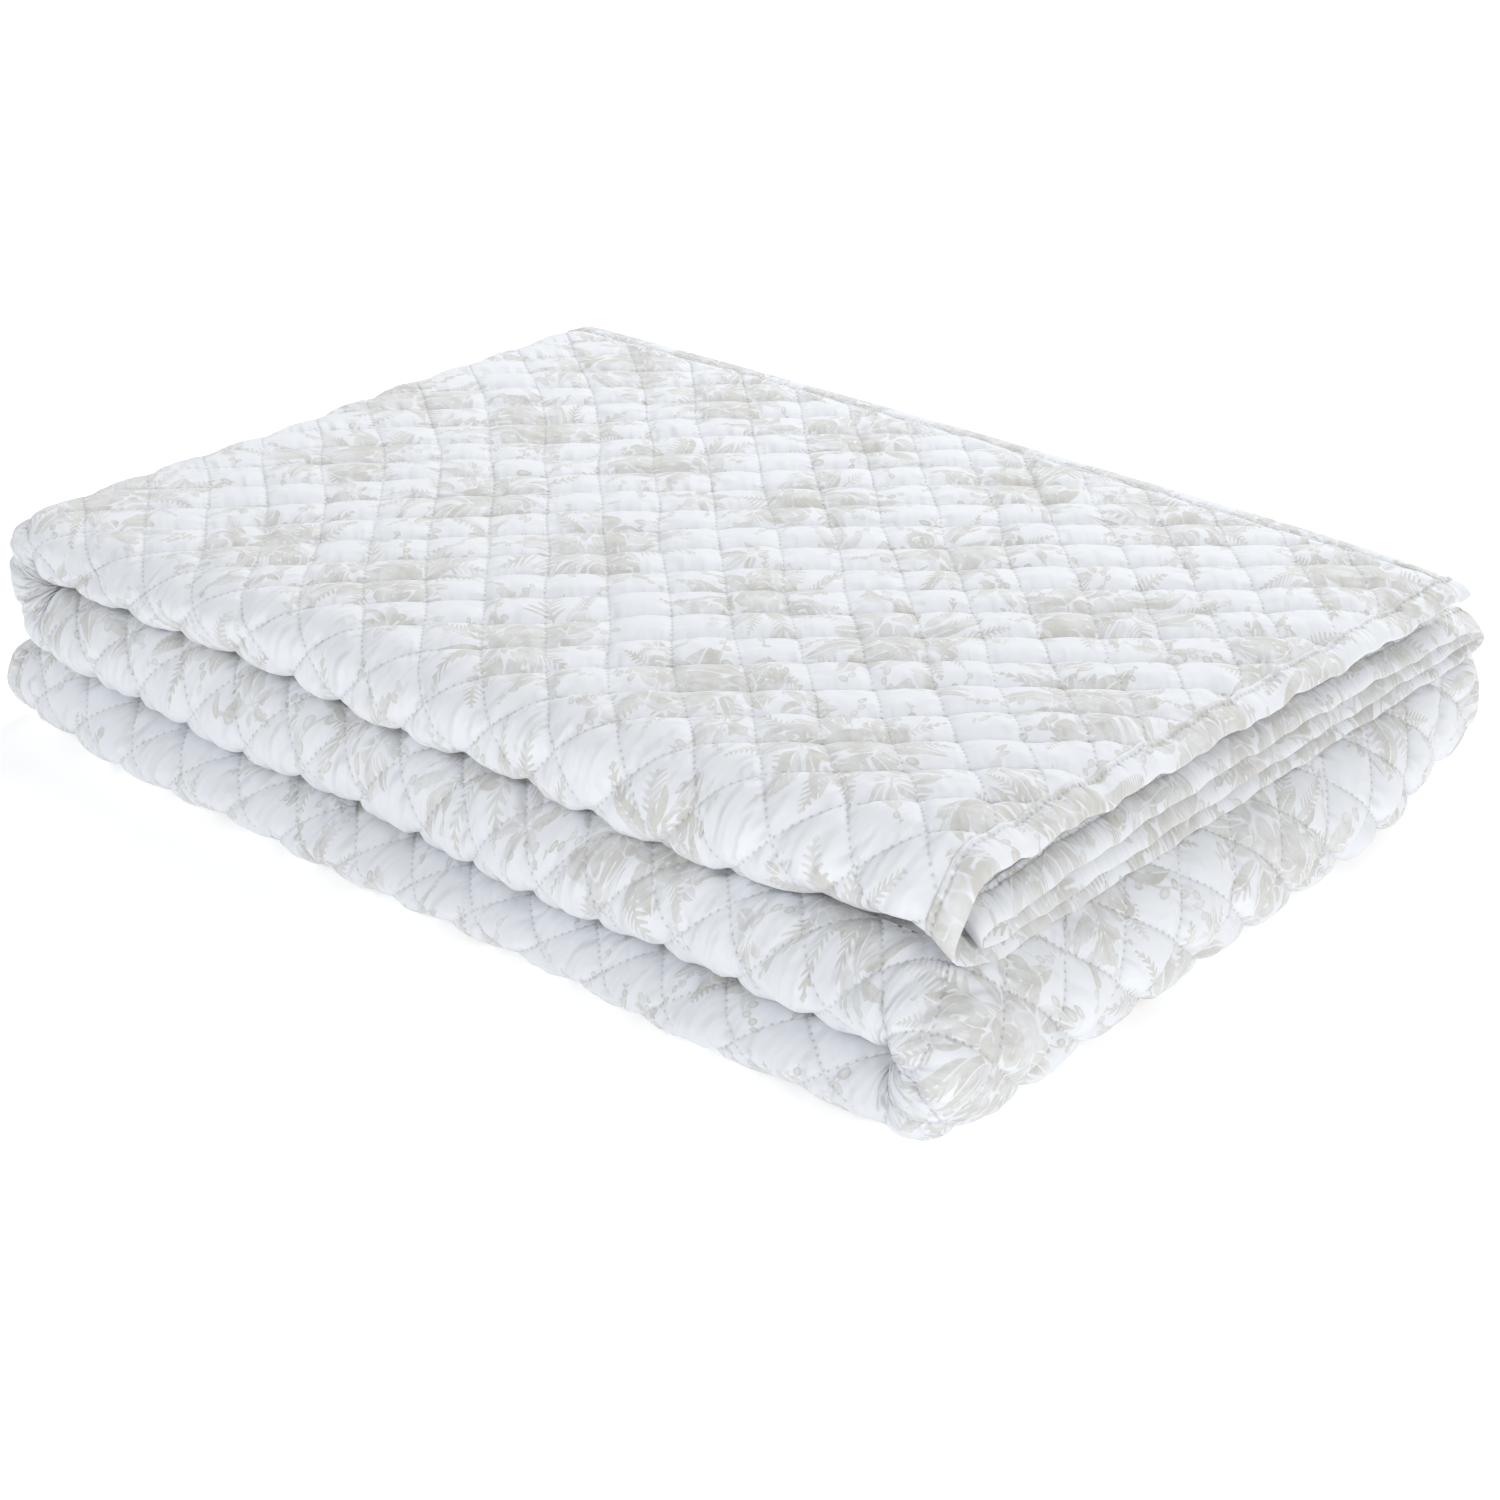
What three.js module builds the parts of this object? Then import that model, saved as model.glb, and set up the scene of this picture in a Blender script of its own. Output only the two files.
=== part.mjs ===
// A quilted bedspread with bound edges, folded in four across its width and then in three along its
// length, like a letter Z. Millimetres, +Z up. X runs along the long side of the stack, and Y runs
// from the rolled front to the back. The origin is the middle of the underside.
import * as THREE from "three";

// The cloth
const flatHalf = 2.6; // half the thickness where the cloth is stitched down or pressed flat
const pillowRise = 3.4; // how far a padded diamond stands above its stitch lines
const pillowRoundness = 2.6; // higher is flatter on top and steeper at the stitch lines
const stitchPitch = 36.95; // between neighbouring stitch lines, which run at 45 degrees
const rowStep = stitchPitch / Math.SQRT2; // half a diamond, measured along an edge
const edgeFade = 24; // the padding thins out over this distance from an edge or a crease
const shoulderFade = 36; // and over this one where it comes out from under the top section
const rollOpen = { full: 0.55, none: 1.15 }; // share of a roll's half width where it is puffed up and flat

// The binding, a folded strip on all four edges
const bindingWidth = 15;
const bindingHalf = 2.3;
const bindingRounding = 2.5; // its outer edge is rounded over this width
const bindingEdgeHalf = 1.2;
const seamGap = 0.3;

// The strip that the first two folds make, seen from its end. A run is one layer: it goes from one
// place along Y to another, and its height is a share of the strip's thickness at its start, middle
// and end.
const stripHeight = 52;
const lowest = flatHalf / stripHeight;
const highest = 1 - lowest;
const runs = [
  { layer: 1, fromY: 260.7, toY: -252, start: highest, middle: highest, end: highest },
  { layer: 4, fromY: -252, toY: 284, start: lowest, middle: lowest, end: lowest },
  { layer: 3, fromY: 284, toY: -236, start: 0.3, middle: 0.34, end: 0.26 },
  { layer: 2, fromY: -236, toY: 279, start: 0.5, middle: 0.65, end: 0.5 },
];
// How far each turn reaches past the runs that it joins
const turns = [
  { name: "front roll", reach: -31 },
  { name: "back fold", reach: 18 },
  { name: "inner front roll", reach: -22 },
];

// The two folds along the length. Rows are counted from the top section's bound end, round the left
// fold, through the middle section, round the right fold and to the bottom section's bound end.
const firstRow = 22.8; // from the bound end to the first line of diamond corners
const topEnd = 374.5; // X of the top section's end, without its binding
const bottomEnd = -383; // X of the bottom section's end, without its binding
const straightSteps = 27; // whole rows in the top section, and in the middle section
const foldSteps = 6;
const leftReach = 50; // how far the outer face of the left fold stands out
const rightReach = 46;
const foldSquareness = 2.3; // 2 is an ellipse, higher is squarer
const sectionGap = 0.035; // space kept at each face of a section, as a share of its thickness

const topLength = firstRow + straightSteps * rowStep;
const foldLength = foldSteps * rowStep;
const middleLength = straightSteps * rowStep;
const leftTurn = topEnd - topLength; // X where the left fold begins
const rightTurn = leftTurn + middleLength;
const bottomLength = rightTurn - bottomEnd;
const foldEnds = [topLength, topLength + foldLength];
const secondFoldEnds = [foldEnds[1] + middleLength, foldEnds[1] + middleLength + foldLength];
const rowTotal = secondFoldEnds[1] + bottomLength;

// How high the faces between the sections lie, at the front edge and at the back edge
const faces = [
  { name: "bottom to middle", left: 55, middle: 39, right: 48, backLeft: 43, backMiddle: 42, backRight: 44 },
  { name: "middle to top", left: 104, middle: 103, right: 97, backLeft: 87, backMiddle: 90, backRight: 90 },
  { name: "top", left: 138, middle: 158, right: 156, backLeft: 134, backMiddle: 140, backRight: 140 },
];
const halfLength = 389.5;
const frontY = -283;
const backY = 284;

// Unevenness of the folded stack
const rollFronts = [
  { section: "bottom", left: -17, middle: -27, right: -24 },
  { section: "middle", left: -12, middle: -15, right: -14 },
  { section: "top", left: -2, middle: -4, right: 8 },
]; // how far each section's front roll is moved along Y
const endDroop = { front: 1, back: 0.75, topShare: 0.4 }; // the top section's end lies over the right fold
const foldBulge = { size: 22, from: 250, lowLevel: 0.9, highLevel: 2, backFrom: 120, backShare: 1.2 };
const leftLean = { size: 27, from: 240 }; // the left fold leans out at the top and draws back lower down
const frontWave = { size: 2.5, length: 620, secondSize: 2, secondLength: 243, turnPerSection: 1.7 };

const clothColor = 0xeceef0;
const bindingColor = 0xe4e2df;
const clothRoughness = 0.85;

const clamp = THREE.MathUtils.clamp;
const lerp = THREE.MathUtils.lerp;
const smooth = THREE.MathUtils.smoothstep;

// A height through three values at 0, 0.5 and 1
function throughThree(start, middle, end, t) {
  const bend = middle - (start + end) / 2;
  return lerp(start, end, t) + 4 * bend * t * (1 - t);
}

// The strip's middle line as closely spaced points, with the distance along the cloth at each, and
// the distances at which its runs and turns begin and end
function stripLine() {
  const runSteps = 60;
  const turnSteps = 32;
  const points = [];
  const marks = [0];
  const add = (y, height) => {
    const last = points[points.length - 1];
    const step = last ? Math.hypot(y - last.y, (height - last.height) * stripHeight) : 0;
    points.push({ along: last ? last.along + step : 0, y, height });
  };
  runs.forEach((run, index) => {
    for (let i = index ? 1 : 0; i <= runSteps; i += 1) {
      const t = i / runSteps;
      add(lerp(run.fromY, run.toY, t), throughThree(run.start, run.middle, run.end, t));
    }
    marks.push(points[points.length - 1].along);
    const next = runs[index + 1];
    if (!next) return;
    const middle = (run.end + next.start) / 2;
    const half = (run.end - next.start) / 2;
    for (let i = 1; i <= turnSteps; i += 1) {
      const angle = (Math.PI * i) / turnSteps;
      add(run.toY + turns[index].reach * Math.sin(angle), middle + half * Math.cos(angle));
    }
    marks.push(points[points.length - 1].along);
  });
  return { points, marks, total: points[points.length - 1].along };
}

const strip = stripLine();

// A place on the strip's middle line, with the direction that its outer face looks in
function stripPlace(along) {
  const points = strip.points;
  const inside = clamp(along, 0, strip.total);
  let low = 0;
  let high = points.length - 1;
  while (high - low > 1) {
    const half = (low + high) >> 1;
    if (points[half].along <= inside) low = half;
    else high = half;
  }
  const a = points[low];
  const b = points[high];
  const t = (inside - a.along) / (b.along - a.along);
  const before = points[Math.max(low - 1, 0)];
  const after = points[Math.min(high + 1, points.length - 1)];
  const run = new THREE.Vector2(after.y - before.y, (after.height - before.height) * stripHeight).normalize();
  const past = along - inside; // a binding lies past the cloth's own edge
  return {
    y: lerp(a.y, b.y, t) + run.x * past,
    height: lerp(a.height, b.height, t) + (run.y * past) / stripHeight,
    outY: run.y,
    outHeight: -run.x,
  };
}

// Where a row lies along the stack, and how high, counted in section thicknesses from the underside
function alongStack(row, height) {
  const depth = sectionGap + height * (1 - 2 * sectionGap);
  if (row <= foldEnds[0]) return { x: topEnd - row, level: 2 + depth };
  if (row < foldEnds[1]) return aroundFold(row - foldEnds[0], leftTurn, -leftReach, 2, depth);
  if (row <= secondFoldEnds[0]) return { x: leftTurn + row - foldEnds[1], level: 2 - depth };
  if (row < secondFoldEnds[1]) {
    return aroundFold(row - secondFoldEnds[0], rightTurn, rightReach, 1, 1 - depth);
  }
  return { x: rightTurn - (row - secondFoldEnds[1]), level: depth };
}

function aroundFold(travelled, turnX, reach, centreLevel, radius) {
  const angle = (Math.PI * travelled) / foldLength;
  const power = 2 / foldSquareness;
  const out = Math.sin(angle) ** power;
  const up = Math.sign(Math.cos(angle)) * Math.abs(Math.cos(angle)) ** power;
  return { x: turnX + reach * radius * out, level: centreLevel + radius * up };
}

// The real height of a level, from the table of faces
function realHeight(x, y, level) {
  const t = clamp((x / halfLength + 1) / 2, 0, 1);
  const back = (y - frontY) / (backY - frontY);
  const heights = [0];
  for (const face of faces) {
    const frontHeight = throughThree(face.left, face.middle, face.right, t);
    const backHeight = throughThree(face.backLeft, face.backMiddle, face.backRight, t);
    heights.push(lerp(frontHeight, backHeight, back));
  }
  const marks = [sectionGap, 1, 2, 3 - sectionGap];
  const section = level < marks[1] ? 0 : level < marks[2] ? 1 : 2;
  const share = (level - marks[section]) / (marks[section + 1] - marks[section]);
  return lerp(heights[section], heights[section + 1], share);
}

// The small irregular shifts that keep the stack from looking machine-made
function settle(x, y, level) {
  const back = clamp((y - frontY) / (backY - frontY), 0, 1);
  const across = clamp((x / halfLength + 1) / 2, 0, 1);
  const nearFront = 1 - smooth(y, frontY, 0);
  const nearLeft = smooth(-x, leftLean.from, halfLength);
  const inTopSection = level > 2 ? 1 : 0;
  const sag = 1 - (1 - endDroop.topShare) * clamp(level - 2, 0, 1);
  const droop = lerp(endDroop.front, endDroop.back, back) * shoulderDrop(x) * sag * inTopSection;
  const low = 1 - smooth(level, foldBulge.lowLevel, foldBulge.highLevel);
  const bulge = foldBulge.size * low * smooth(x, foldBulge.from, halfLength) *
    (1 - foldBulge.backShare * smooth(y, foldBulge.backFrom, backY));
  const lean = level > 1 ? leftLean.size * nearLeft * clamp(level - 2, -1, 1) : 0;
  return {
    x: x + bulge - lean,
    y: y + (rollFront(level, across) + wave(x, level)) * nearFront,
    level: level - droop,
  };
}

// How far the right fold's outer face has fallen away below the top section
function shoulderDrop(x) {
  const out = clamp((x - rightTurn) / rightReach, 0, 1);
  return 1 - (1 - out ** foldSquareness) ** (1 / foldSquareness);
}

// How far a roll is moved to the front or back at a level
function rollFront(level, across) {
  const place = clamp(level - 0.5, 0, 2);
  const lower = Math.min(Math.floor(place), 1);
  const shiftOf = (roll) => throughThree(roll.left, roll.middle, roll.right, across);
  return lerp(shiftOf(rollFronts[lower]), shiftOf(rollFronts[lower + 1]), place - lower);
}

function wave(x, level) {
  const turn = level * frontWave.turnPerSection;
  return (
    frontWave.size * Math.sin((2 * Math.PI * x) / frontWave.length + turn) +
    frontWave.secondSize * Math.sin((2 * Math.PI * x) / frontWave.secondLength - 2 * turn)
  );
}

// A point of the folded cloth: its place along the strip, its row, and its distance from the middle
// of the cloth towards the outer face
function foldedPoint(along, row, offset) {
  const place = stripPlace(along);
  const y = place.y + place.outY * offset;
  const height = place.height + (place.outHeight * offset) / stripHeight;
  const stack = alongStack(row, height);
  const settled = settle(stack.x, y, stack.level);
  const z = realHeight(settled.x, settled.y, settled.level);
  return new THREE.Vector3(settled.x, settled.y, Math.max(z, 0));
}

// How far a diamond has risen, 0 on a stitch line and 1 at its middle
function pillow(along, row) {
  const acrossOne = (along + row - firstRow) / (2 * rowStep);
  const acrossTwo = (along - row + firstRow) / (2 * rowStep);
  const fromMiddle = (value) => Math.abs(2 * (value - Math.floor(value)) - 1);
  return (
    (1 - fromMiddle(acrossOne) ** pillowRoundness) * (1 - fromMiddle(acrossTwo) ** pillowRoundness)
  );
}

// How much of the padding shows: only the faces that lie open are left puffed up
function openness(along, row) {
  const [, runOneEnd, runFourStart, runFourEnd] = strip.marks;
  const rollMiddle = (runOneEnd + runFourStart) / 2;
  const rollHalf = (runFourStart - runOneEnd) / 2;
  const fromMiddle = Math.abs(along - rollMiddle) / rollHalf;
  const onRoll = 1 - smooth(fromMiddle, rollOpen.full, rollOpen.none);
  const onTopLayer = smooth(along, 0, edgeFade) * (1 - smooth(along, rollMiddle, rollMiddle + 1));
  const onBottomLayer =
    smooth(along, rollMiddle - 1, rollMiddle) * (1 - smooth(along, runFourEnd, runFourEnd + edgeFade));
  const topOpen = 1 - smooth(row, foldEnds[1] - edgeFade, foldEnds[1]);
  const shoulder = secondFoldEnds[0] + edgeFade; // the top section lies on the fold up to here
  const rightOpen =
    smooth(row, shoulder, shoulder + shoulderFade) *
    (1 - smooth(row, secondFoldEnds[1] - edgeFade, secondFoldEnds[1]));
  const open = Math.max(onRoll, onTopLayer * topOpen, onBottomLayer * rightOpen);
  const edge = smooth(row, 0, edgeFade) * (1 - smooth(row, rowTotal - edgeFade, rowTotal));
  return open * edge;
}

function outerOffset(along, row) {
  return flatHalf + pillowRise * pillow(along, row) * openness(along, row);
}

function innerOffset() {
  return -flatHalf;
}

// The places along the strip and the rows where the mesh has its points
function evenly(from, to, parts) {
  return Array.from({ length: parts }, (_, i) => lerp(from, to, i / parts));
}

function sortedOnce(values) {
  const sorted = [...values].sort((a, b) => a - b);
  return sorted.filter((value, i) => i === 0 || value - sorted[i - 1] > 1e-6);
}

const rowAt = (index) => firstRow + index * rowStep;

// Rows of a face: a step for each section and each fold, in half diamonds of its own
function rowList(steps) {
  const starts = [rowAt(0), foldEnds[0], foldEnds[1], secondFoldEnds[0], secondFoldEnds[1]];
  const ends = [...starts.slice(1), rowTotal];
  const rows = [0];
  starts.forEach((start, i) => {
    const step = steps[i] * rowStep;
    for (let row = start; row < ends[i] - step * shortestRow; row += step) rows.push(row);
  });
  return sortedOnce([...rows, rowTotal]);
}

const shortestRow = 0.4; // a last row narrower than this share of its step is left out
const rollLineStep = 0.5;
const rowSteps = {
  // top section, left fold, middle section, right fold, bottom section
  topLayer: [1, 0.5, 9, 2, 9],
  roll: [0.5, 0.5, 0.5, 0.5, 0.5],
  bottomLayer: [6, 1, 9, 0.5, 9],
  hidden: [6, 1, 9, 1, 9],
};

// Lines of points on the outer face, from the first free edge to the second
function outerLines() {
  const [, runOneEnd, runFourStart, runFourEnd] = strip.marks;
  const lines = [];
  const add = (along, steps) => lines.push({ along, rows: rowList(steps) });
  const rollFirst = Math.floor(runOneEnd / rowStep);
  const rollLast = Math.ceil(runFourStart / rowStep);
  const bottomLast = Math.floor(runFourEnd / rowStep);
  for (let i = 0; i < rollFirst; i += 1) add(i * rowStep, rowSteps.topLayer);
  for (let i = rollFirst; i <= rollLast; i += rollLineStep) add(i * rowStep, rowSteps.roll);
  for (let i = rollLast + 1; i <= bottomLast; i += 1) add(i * rowStep, rowSteps.bottomLayer);
  hiddenPlaces(3).forEach((along) => add(along, rowSteps.hidden));
  add(strip.total, rowSteps.hidden);
  return lines;
}

function innerLines() {
  return [...hiddenPlaces(0), strip.total].map((along) => ({ along, rows: rowList(rowSteps.hidden) }));
}

// Places along the strip on the runs and turns from a given mark on
function hiddenPlaces(firstMark) {
  const runParts = 4;
  const turnParts = 6;
  const places = [];
  strip.marks.slice(firstMark, -1).forEach((mark, i) => {
    const isRun = (i + firstMark) % 2 === 0;
    places.push(...evenly(mark, strip.marks[i + firstMark + 1], isRun ? runParts : turnParts));
  });
  return places;
}

// A closed surface is gathered as corner points and triangles
class Surface {
  constructor() {
    this.points = [];
    this.triangles = [];
  }

  add(point) {
    this.points.push(point);
    return this.points.length - 1;
  }

  // Joins two rows of points, following whichever diagonal lies closer to the true surface
  join(first, second, turned, pointBetween) {
    let i = 0;
    let j = 0;
    while (i < first.length - 1 || j < second.length - 1) {
      const nextFirst = i < first.length - 1 ? first[i + 1].at : Infinity;
      const nextSecond = j < second.length - 1 ? second[j + 1].at : Infinity;
      let takeFirst = nextFirst < nextSecond;
      if (Math.abs(nextFirst - nextSecond) < 1e-6) {
        takeFirst = this.firstIsCloser(first, second, i, j, pointBetween);
      }
      const third = takeFirst ? first[i + 1].id : second[j + 1].id;
      if (turned) this.triangles.push(first[i].id, second[j].id, third);
      else this.triangles.push(first[i].id, third, second[j].id);
      if (takeFirst) i += 1;
      else j += 1;
    }
  }

  firstIsCloser(first, second, i, j, pointBetween) {
    if (!pointBetween) return true;
    const centre = pointBetween((first[i].at + first[i + 1].at) / 2);
    const middle = (a, b) => this.points[a].clone().lerp(this.points[b], 0.5);
    const throughFirst = middle(first[i + 1].id, second[j].id).distanceTo(centre);
    const throughSecond = middle(first[i].id, second[j + 1].id).distanceTo(centre);
    return throughFirst < throughSecond;
  }

  mesh(name, color, roughness) {
    const geometry = new THREE.BufferGeometry();
    geometry.setAttribute("position", new THREE.BufferAttribute(
      new Float32Array(this.points.flatMap((point) => point.toArray())), 3));
    geometry.setIndex(this.triangles);
    geometry.computeVertexNormals();
    const material = new THREE.MeshStandardMaterial({ color, roughness, metalness: 0 });
    const mesh = new THREE.Mesh(geometry, material);
    mesh.name = name;
    return mesh;
  }
}

// One face of a sheet as lines of numbered points
function faceLines(surface, lines, offset) {
  return lines.map(({ along, rows }) => ({
    along,
    line: rows.map((row) => ({ at: row, id: surface.add(foldedPoint(along, row, offset(along, row))) })),
  }));
}

// A sheet with an outer and an inner face and a wall round its edge
function sheetSurface(outer, inner, outerOffsetAt, innerOffsetAt) {
  const surface = new Surface();
  const outerFace = faceLines(surface, outer, outerOffsetAt);
  const innerFace = faceLines(surface, inner, innerOffsetAt);
  const fill = (face, turned, offset) => {
    for (let i = 0; i < face.length - 1; i += 1) {
      const between = (face[i].along + face[i + 1].along) / 2;
      const pointBetween = (row) => foldedPoint(between, row, offset(between, row));
      surface.join(face[i].line, face[i + 1].line, turned, pointBetween);
    }
  };
  fill(outerFace, false, outerOffsetAt);
  fill(innerFace, true, innerOffsetAt);
  const firstOf = (face) => face.map(({ along, line }) => ({ at: along, id: line[0].id }));
  const lastOf = (face) => face.map(({ along, line }) => ({ at: along, id: line[line.length - 1].id }));
  surface.join(outerFace[0].line, innerFace[0].line, true);
  surface.join(outerFace[outerFace.length - 1].line, innerFace[innerFace.length - 1].line, false);
  surface.join(firstOf(outerFace), firstOf(innerFace), false);
  surface.join(lastOf(outerFace), lastOf(innerFace), true);
  return surface;
}

// Half the binding's thickness at a distance from the seam
function bindingOffset(fromSeam) {
  return fromSeam > bindingWidth - bindingRounding ? bindingEdgeHalf : bindingHalf;
}

// A binding along one bound end: its rows lie past the cloth's first row or past its last
function endBinding(outward) {
  const edge = outward < 0 ? 0 : rowTotal;
  const distances = [seamGap, bindingWidth - bindingRounding, bindingWidth];
  const rows = distances.map((distance) => edge + outward * distance).sort((a, b) => a - b);
  const halfAt = (along, row) => bindingOffset(Math.abs(row - edge) + 1e-6);
  const withCorners = (lines) => [
    { along: -bindingWidth, rows },
    ...lines.map(({ along }) => ({ along, rows })),
    { along: strip.total + bindingWidth, rows },
  ];
  const inward = (along, row) => -halfAt(along, row);
  return sheetSurface(withCorners(outerLines()), withCorners(innerLines()), halfAt, inward);
}

// A binding along one free edge, between the two end bindings
function sideBinding(outward) {
  const edge = outward < 0 ? 0 : strip.total;
  const distances = [seamGap, bindingWidth - bindingRounding, bindingWidth];
  const places = distances.map((distance) => edge + outward * distance).sort((a, b) => a - b);
  const outer = outward < 0 ? outerLines()[0].rows : outerLines().at(-1).rows;
  const inner = innerLines()[0].rows;
  const halfAt = (along) => bindingOffset(Math.abs(along - edge) + 1e-6);
  const linesOf = (rows) => places.map((along) => ({ along, rows }));
  return sheetSurface(linesOf(outer), linesOf(inner), halfAt, (along) => -halfAt(along));
}

const bedspread = new THREE.Group();
const quilt = sheetSurface(outerLines(), innerLines(), outerOffset, innerOffset);
bedspread.add(quilt.mesh("quilted_cloth", clothColor, clothRoughness));
bedspread.add(endBinding(-1).mesh("binding_top_end", bindingColor, clothRoughness));
bedspread.add(endBinding(1).mesh("binding_bottom_end", bindingColor, clothRoughness));
bedspread.add(sideBinding(-1).mesh("binding_upper_edge", bindingColor, clothRoughness));
bedspread.add(sideBinding(1).mesh("binding_lower_edge", bindingColor, clothRoughness));

// The origin is brought to the middle of the underside
const middle = new THREE.Box3().setFromObject(bedspread).getCenter(new THREE.Vector3());
bedspread.position.set(-middle.x, -middle.y, 0);

export default bedspread;
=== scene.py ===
import bpy, math
import numpy as np
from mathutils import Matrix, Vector


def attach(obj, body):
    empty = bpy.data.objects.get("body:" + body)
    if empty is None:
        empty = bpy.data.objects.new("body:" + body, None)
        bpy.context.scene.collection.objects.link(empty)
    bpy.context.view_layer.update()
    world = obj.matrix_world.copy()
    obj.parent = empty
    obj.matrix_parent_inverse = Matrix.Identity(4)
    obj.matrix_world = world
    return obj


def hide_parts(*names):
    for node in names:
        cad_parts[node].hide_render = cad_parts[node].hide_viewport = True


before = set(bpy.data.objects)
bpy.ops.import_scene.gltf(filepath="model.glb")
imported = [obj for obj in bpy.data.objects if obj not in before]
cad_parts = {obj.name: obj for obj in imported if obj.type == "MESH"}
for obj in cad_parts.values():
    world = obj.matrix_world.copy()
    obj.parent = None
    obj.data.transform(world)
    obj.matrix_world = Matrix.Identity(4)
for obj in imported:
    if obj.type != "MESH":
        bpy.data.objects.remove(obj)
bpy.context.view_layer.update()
print("frame loaded")

# Sizes of the folded bedspread, in millimetres, the same as in the part's source
fold = {
    "flatHalf": 2.6,
    "stitchPitch": 36.95,
    "edgeFade": 24.0,
    "shoulderFade": 36.0,
    "rollOpen": (0.55, 1.15),
    "stripHeight": 52.0,
    "firstRow": 22.8,
    "topEnd": 374.5,
    "bottomEnd": -383.0,
    "straightSteps": 27,
    "foldSteps": 6,
    "leftReach": 50.0,
    "rightReach": 46.0,
    "squareness": 2.3,
    "sectionGap": 0.035,
    "halfLength": 389.5,
    "frontY": -283.0,
    "backY": 284.0,
    "bindingWidth": 15.0,
    "centreShift": (-3.105, 5.117),
}
rowStep = fold["stitchPitch"] / math.sqrt(2)  # half a diamond along an edge

lowest = fold["flatHalf"] / fold["stripHeight"]
highest = 1 - lowest
# layer, from Y, to Y, height at its start, middle and end as a share of the strip's thickness
runs = [
    (1, 260.7, -252.0, highest, highest, highest),
    (4, -252.0, 284.0, lowest, lowest, lowest),
    (3, 284.0, -236.0, 0.3, 0.34, 0.26),
    (2, -236.0, 279.0, 0.5, 0.65, 0.5),
]
turnReaches = [-31.0, 18.0, -22.0]  # front roll, back fold, inner front roll

# heights of the faces between the sections: left, middle, right in front, then the same at the back
faceHeights = [
    (55, 39, 48, 43, 42, 44),
    (104, 103, 97, 87, 90, 90),
    (138, 158, 156, 134, 140, 140),
]
rollFronts = [(-17, -27, -24), (-12, -15, -14), (-2, -4, 8)]  # bottom, middle and top section
endDroop = {"front": 1.0, "back": 0.75, "topShare": 0.4}
foldBulge = {"size": 22, "from": 250, "low": 0.9, "high": 2.0, "backFrom": 120, "backShare": 1.2}
leftLean = {"size": 27, "from": 240}
# the top roll's free end is rounded below and leans back above, and its inner layers sink
rollEnd = {"from": 230, "back": 2.0, "above": 12.0, "below": 25.0,
           "lip": 0.45, "shoulder": 0.45, "sink": 0.2}
endRumple = {"size": 0.9, "reach": 70.0, "lengths": (83.0, 37.0, 21.0), "shares": (1.0, 0.7, 0.35)}
frontWave = {"size": 2.5, "length": 620, "secondSize": 2.0, "secondLength": 243, "turn": 1.7}

topLength = fold["firstRow"] + fold["straightSteps"] * rowStep
foldLength = fold["foldSteps"] * rowStep
middleLength = fold["straightSteps"] * rowStep
leftTurn = fold["topEnd"] - topLength
rightTurn = leftTurn + middleLength
bottomLength = rightTurn - fold["bottomEnd"]
leftFold = (topLength, topLength + foldLength)
rightFold = (leftFold[1] + middleLength, leftFold[1] + middleLength + foldLength)
rowTotal = rightFold[1] + bottomLength


def lerp(a, b, t):
    return a + (b - a) * t


def smooth(x, low, high):
    t = np.clip((x - low) / (high - low), 0, 1)
    return t * t * (3 - 2 * t)


def throughThree(start, middle, end, t):
    return lerp(start, end, t) + 4 * (middle - (start + end) / 2) * t * (1 - t)


def stripLine():
    # the strip's middle line, with the distance along the cloth and the way it runs at each point
    ys, heights, ends = [], [], [0]
    for index, (layer, fromY, toY, start, middle, end) in enumerate(runs):
        t = np.linspace(0, 1, 61)[min(index, 1):]
        ys.extend(lerp(fromY, toY, t))
        heights.extend(throughThree(start, middle, end, t))
        ends.append(len(ys) - 1)
        if index < len(turnReaches):
            nextStart = runs[index + 1][3]
            angle = np.pi * np.arange(1, 33) / 32
            ys.extend(toY + turnReaches[index] * np.sin(angle))
            heights.extend((end + nextStart) / 2 + (end - nextStart) / 2 * np.cos(angle))
            ends.append(len(ys) - 1)
    y, height = np.array(ys), np.array(heights)
    z = height * fold["stripHeight"]
    along = np.concatenate([[0], np.cumsum(np.hypot(np.diff(y), np.diff(z)))])
    before = np.maximum(np.arange(len(y)) - 1, 0)
    after = np.minimum(np.arange(len(y)) + 1, len(y) - 1)
    runY, runZ = y[after] - y[before], z[after] - z[before]
    size = np.hypot(runY, runZ)
    return {"along": along, "y": y, "height": height, "runY": runY / size, "runZ": runZ / size,
            "marks": along[ends]}


strip = stripLine()
stripTotal = strip["marks"][-1]
rollMiddle = (strip["marks"][1] + strip["marks"][2]) / 2
rollHalf = (strip["marks"][2] - strip["marks"][1]) / 2


def stripPlace(along):
    inside = np.clip(along, 0, stripTotal)
    y, height, runY, runZ = (np.interp(inside, strip["along"], strip[key])
                             for key in ("y", "height", "runY", "runZ"))
    size = np.hypot(runY, runZ)
    runY, runZ = runY / size, runZ / size
    past = along - inside  # a binding lies past the cloth's own edge
    return y + runY * past, height + runZ * past / fold["stripHeight"], runZ, -runY


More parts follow.
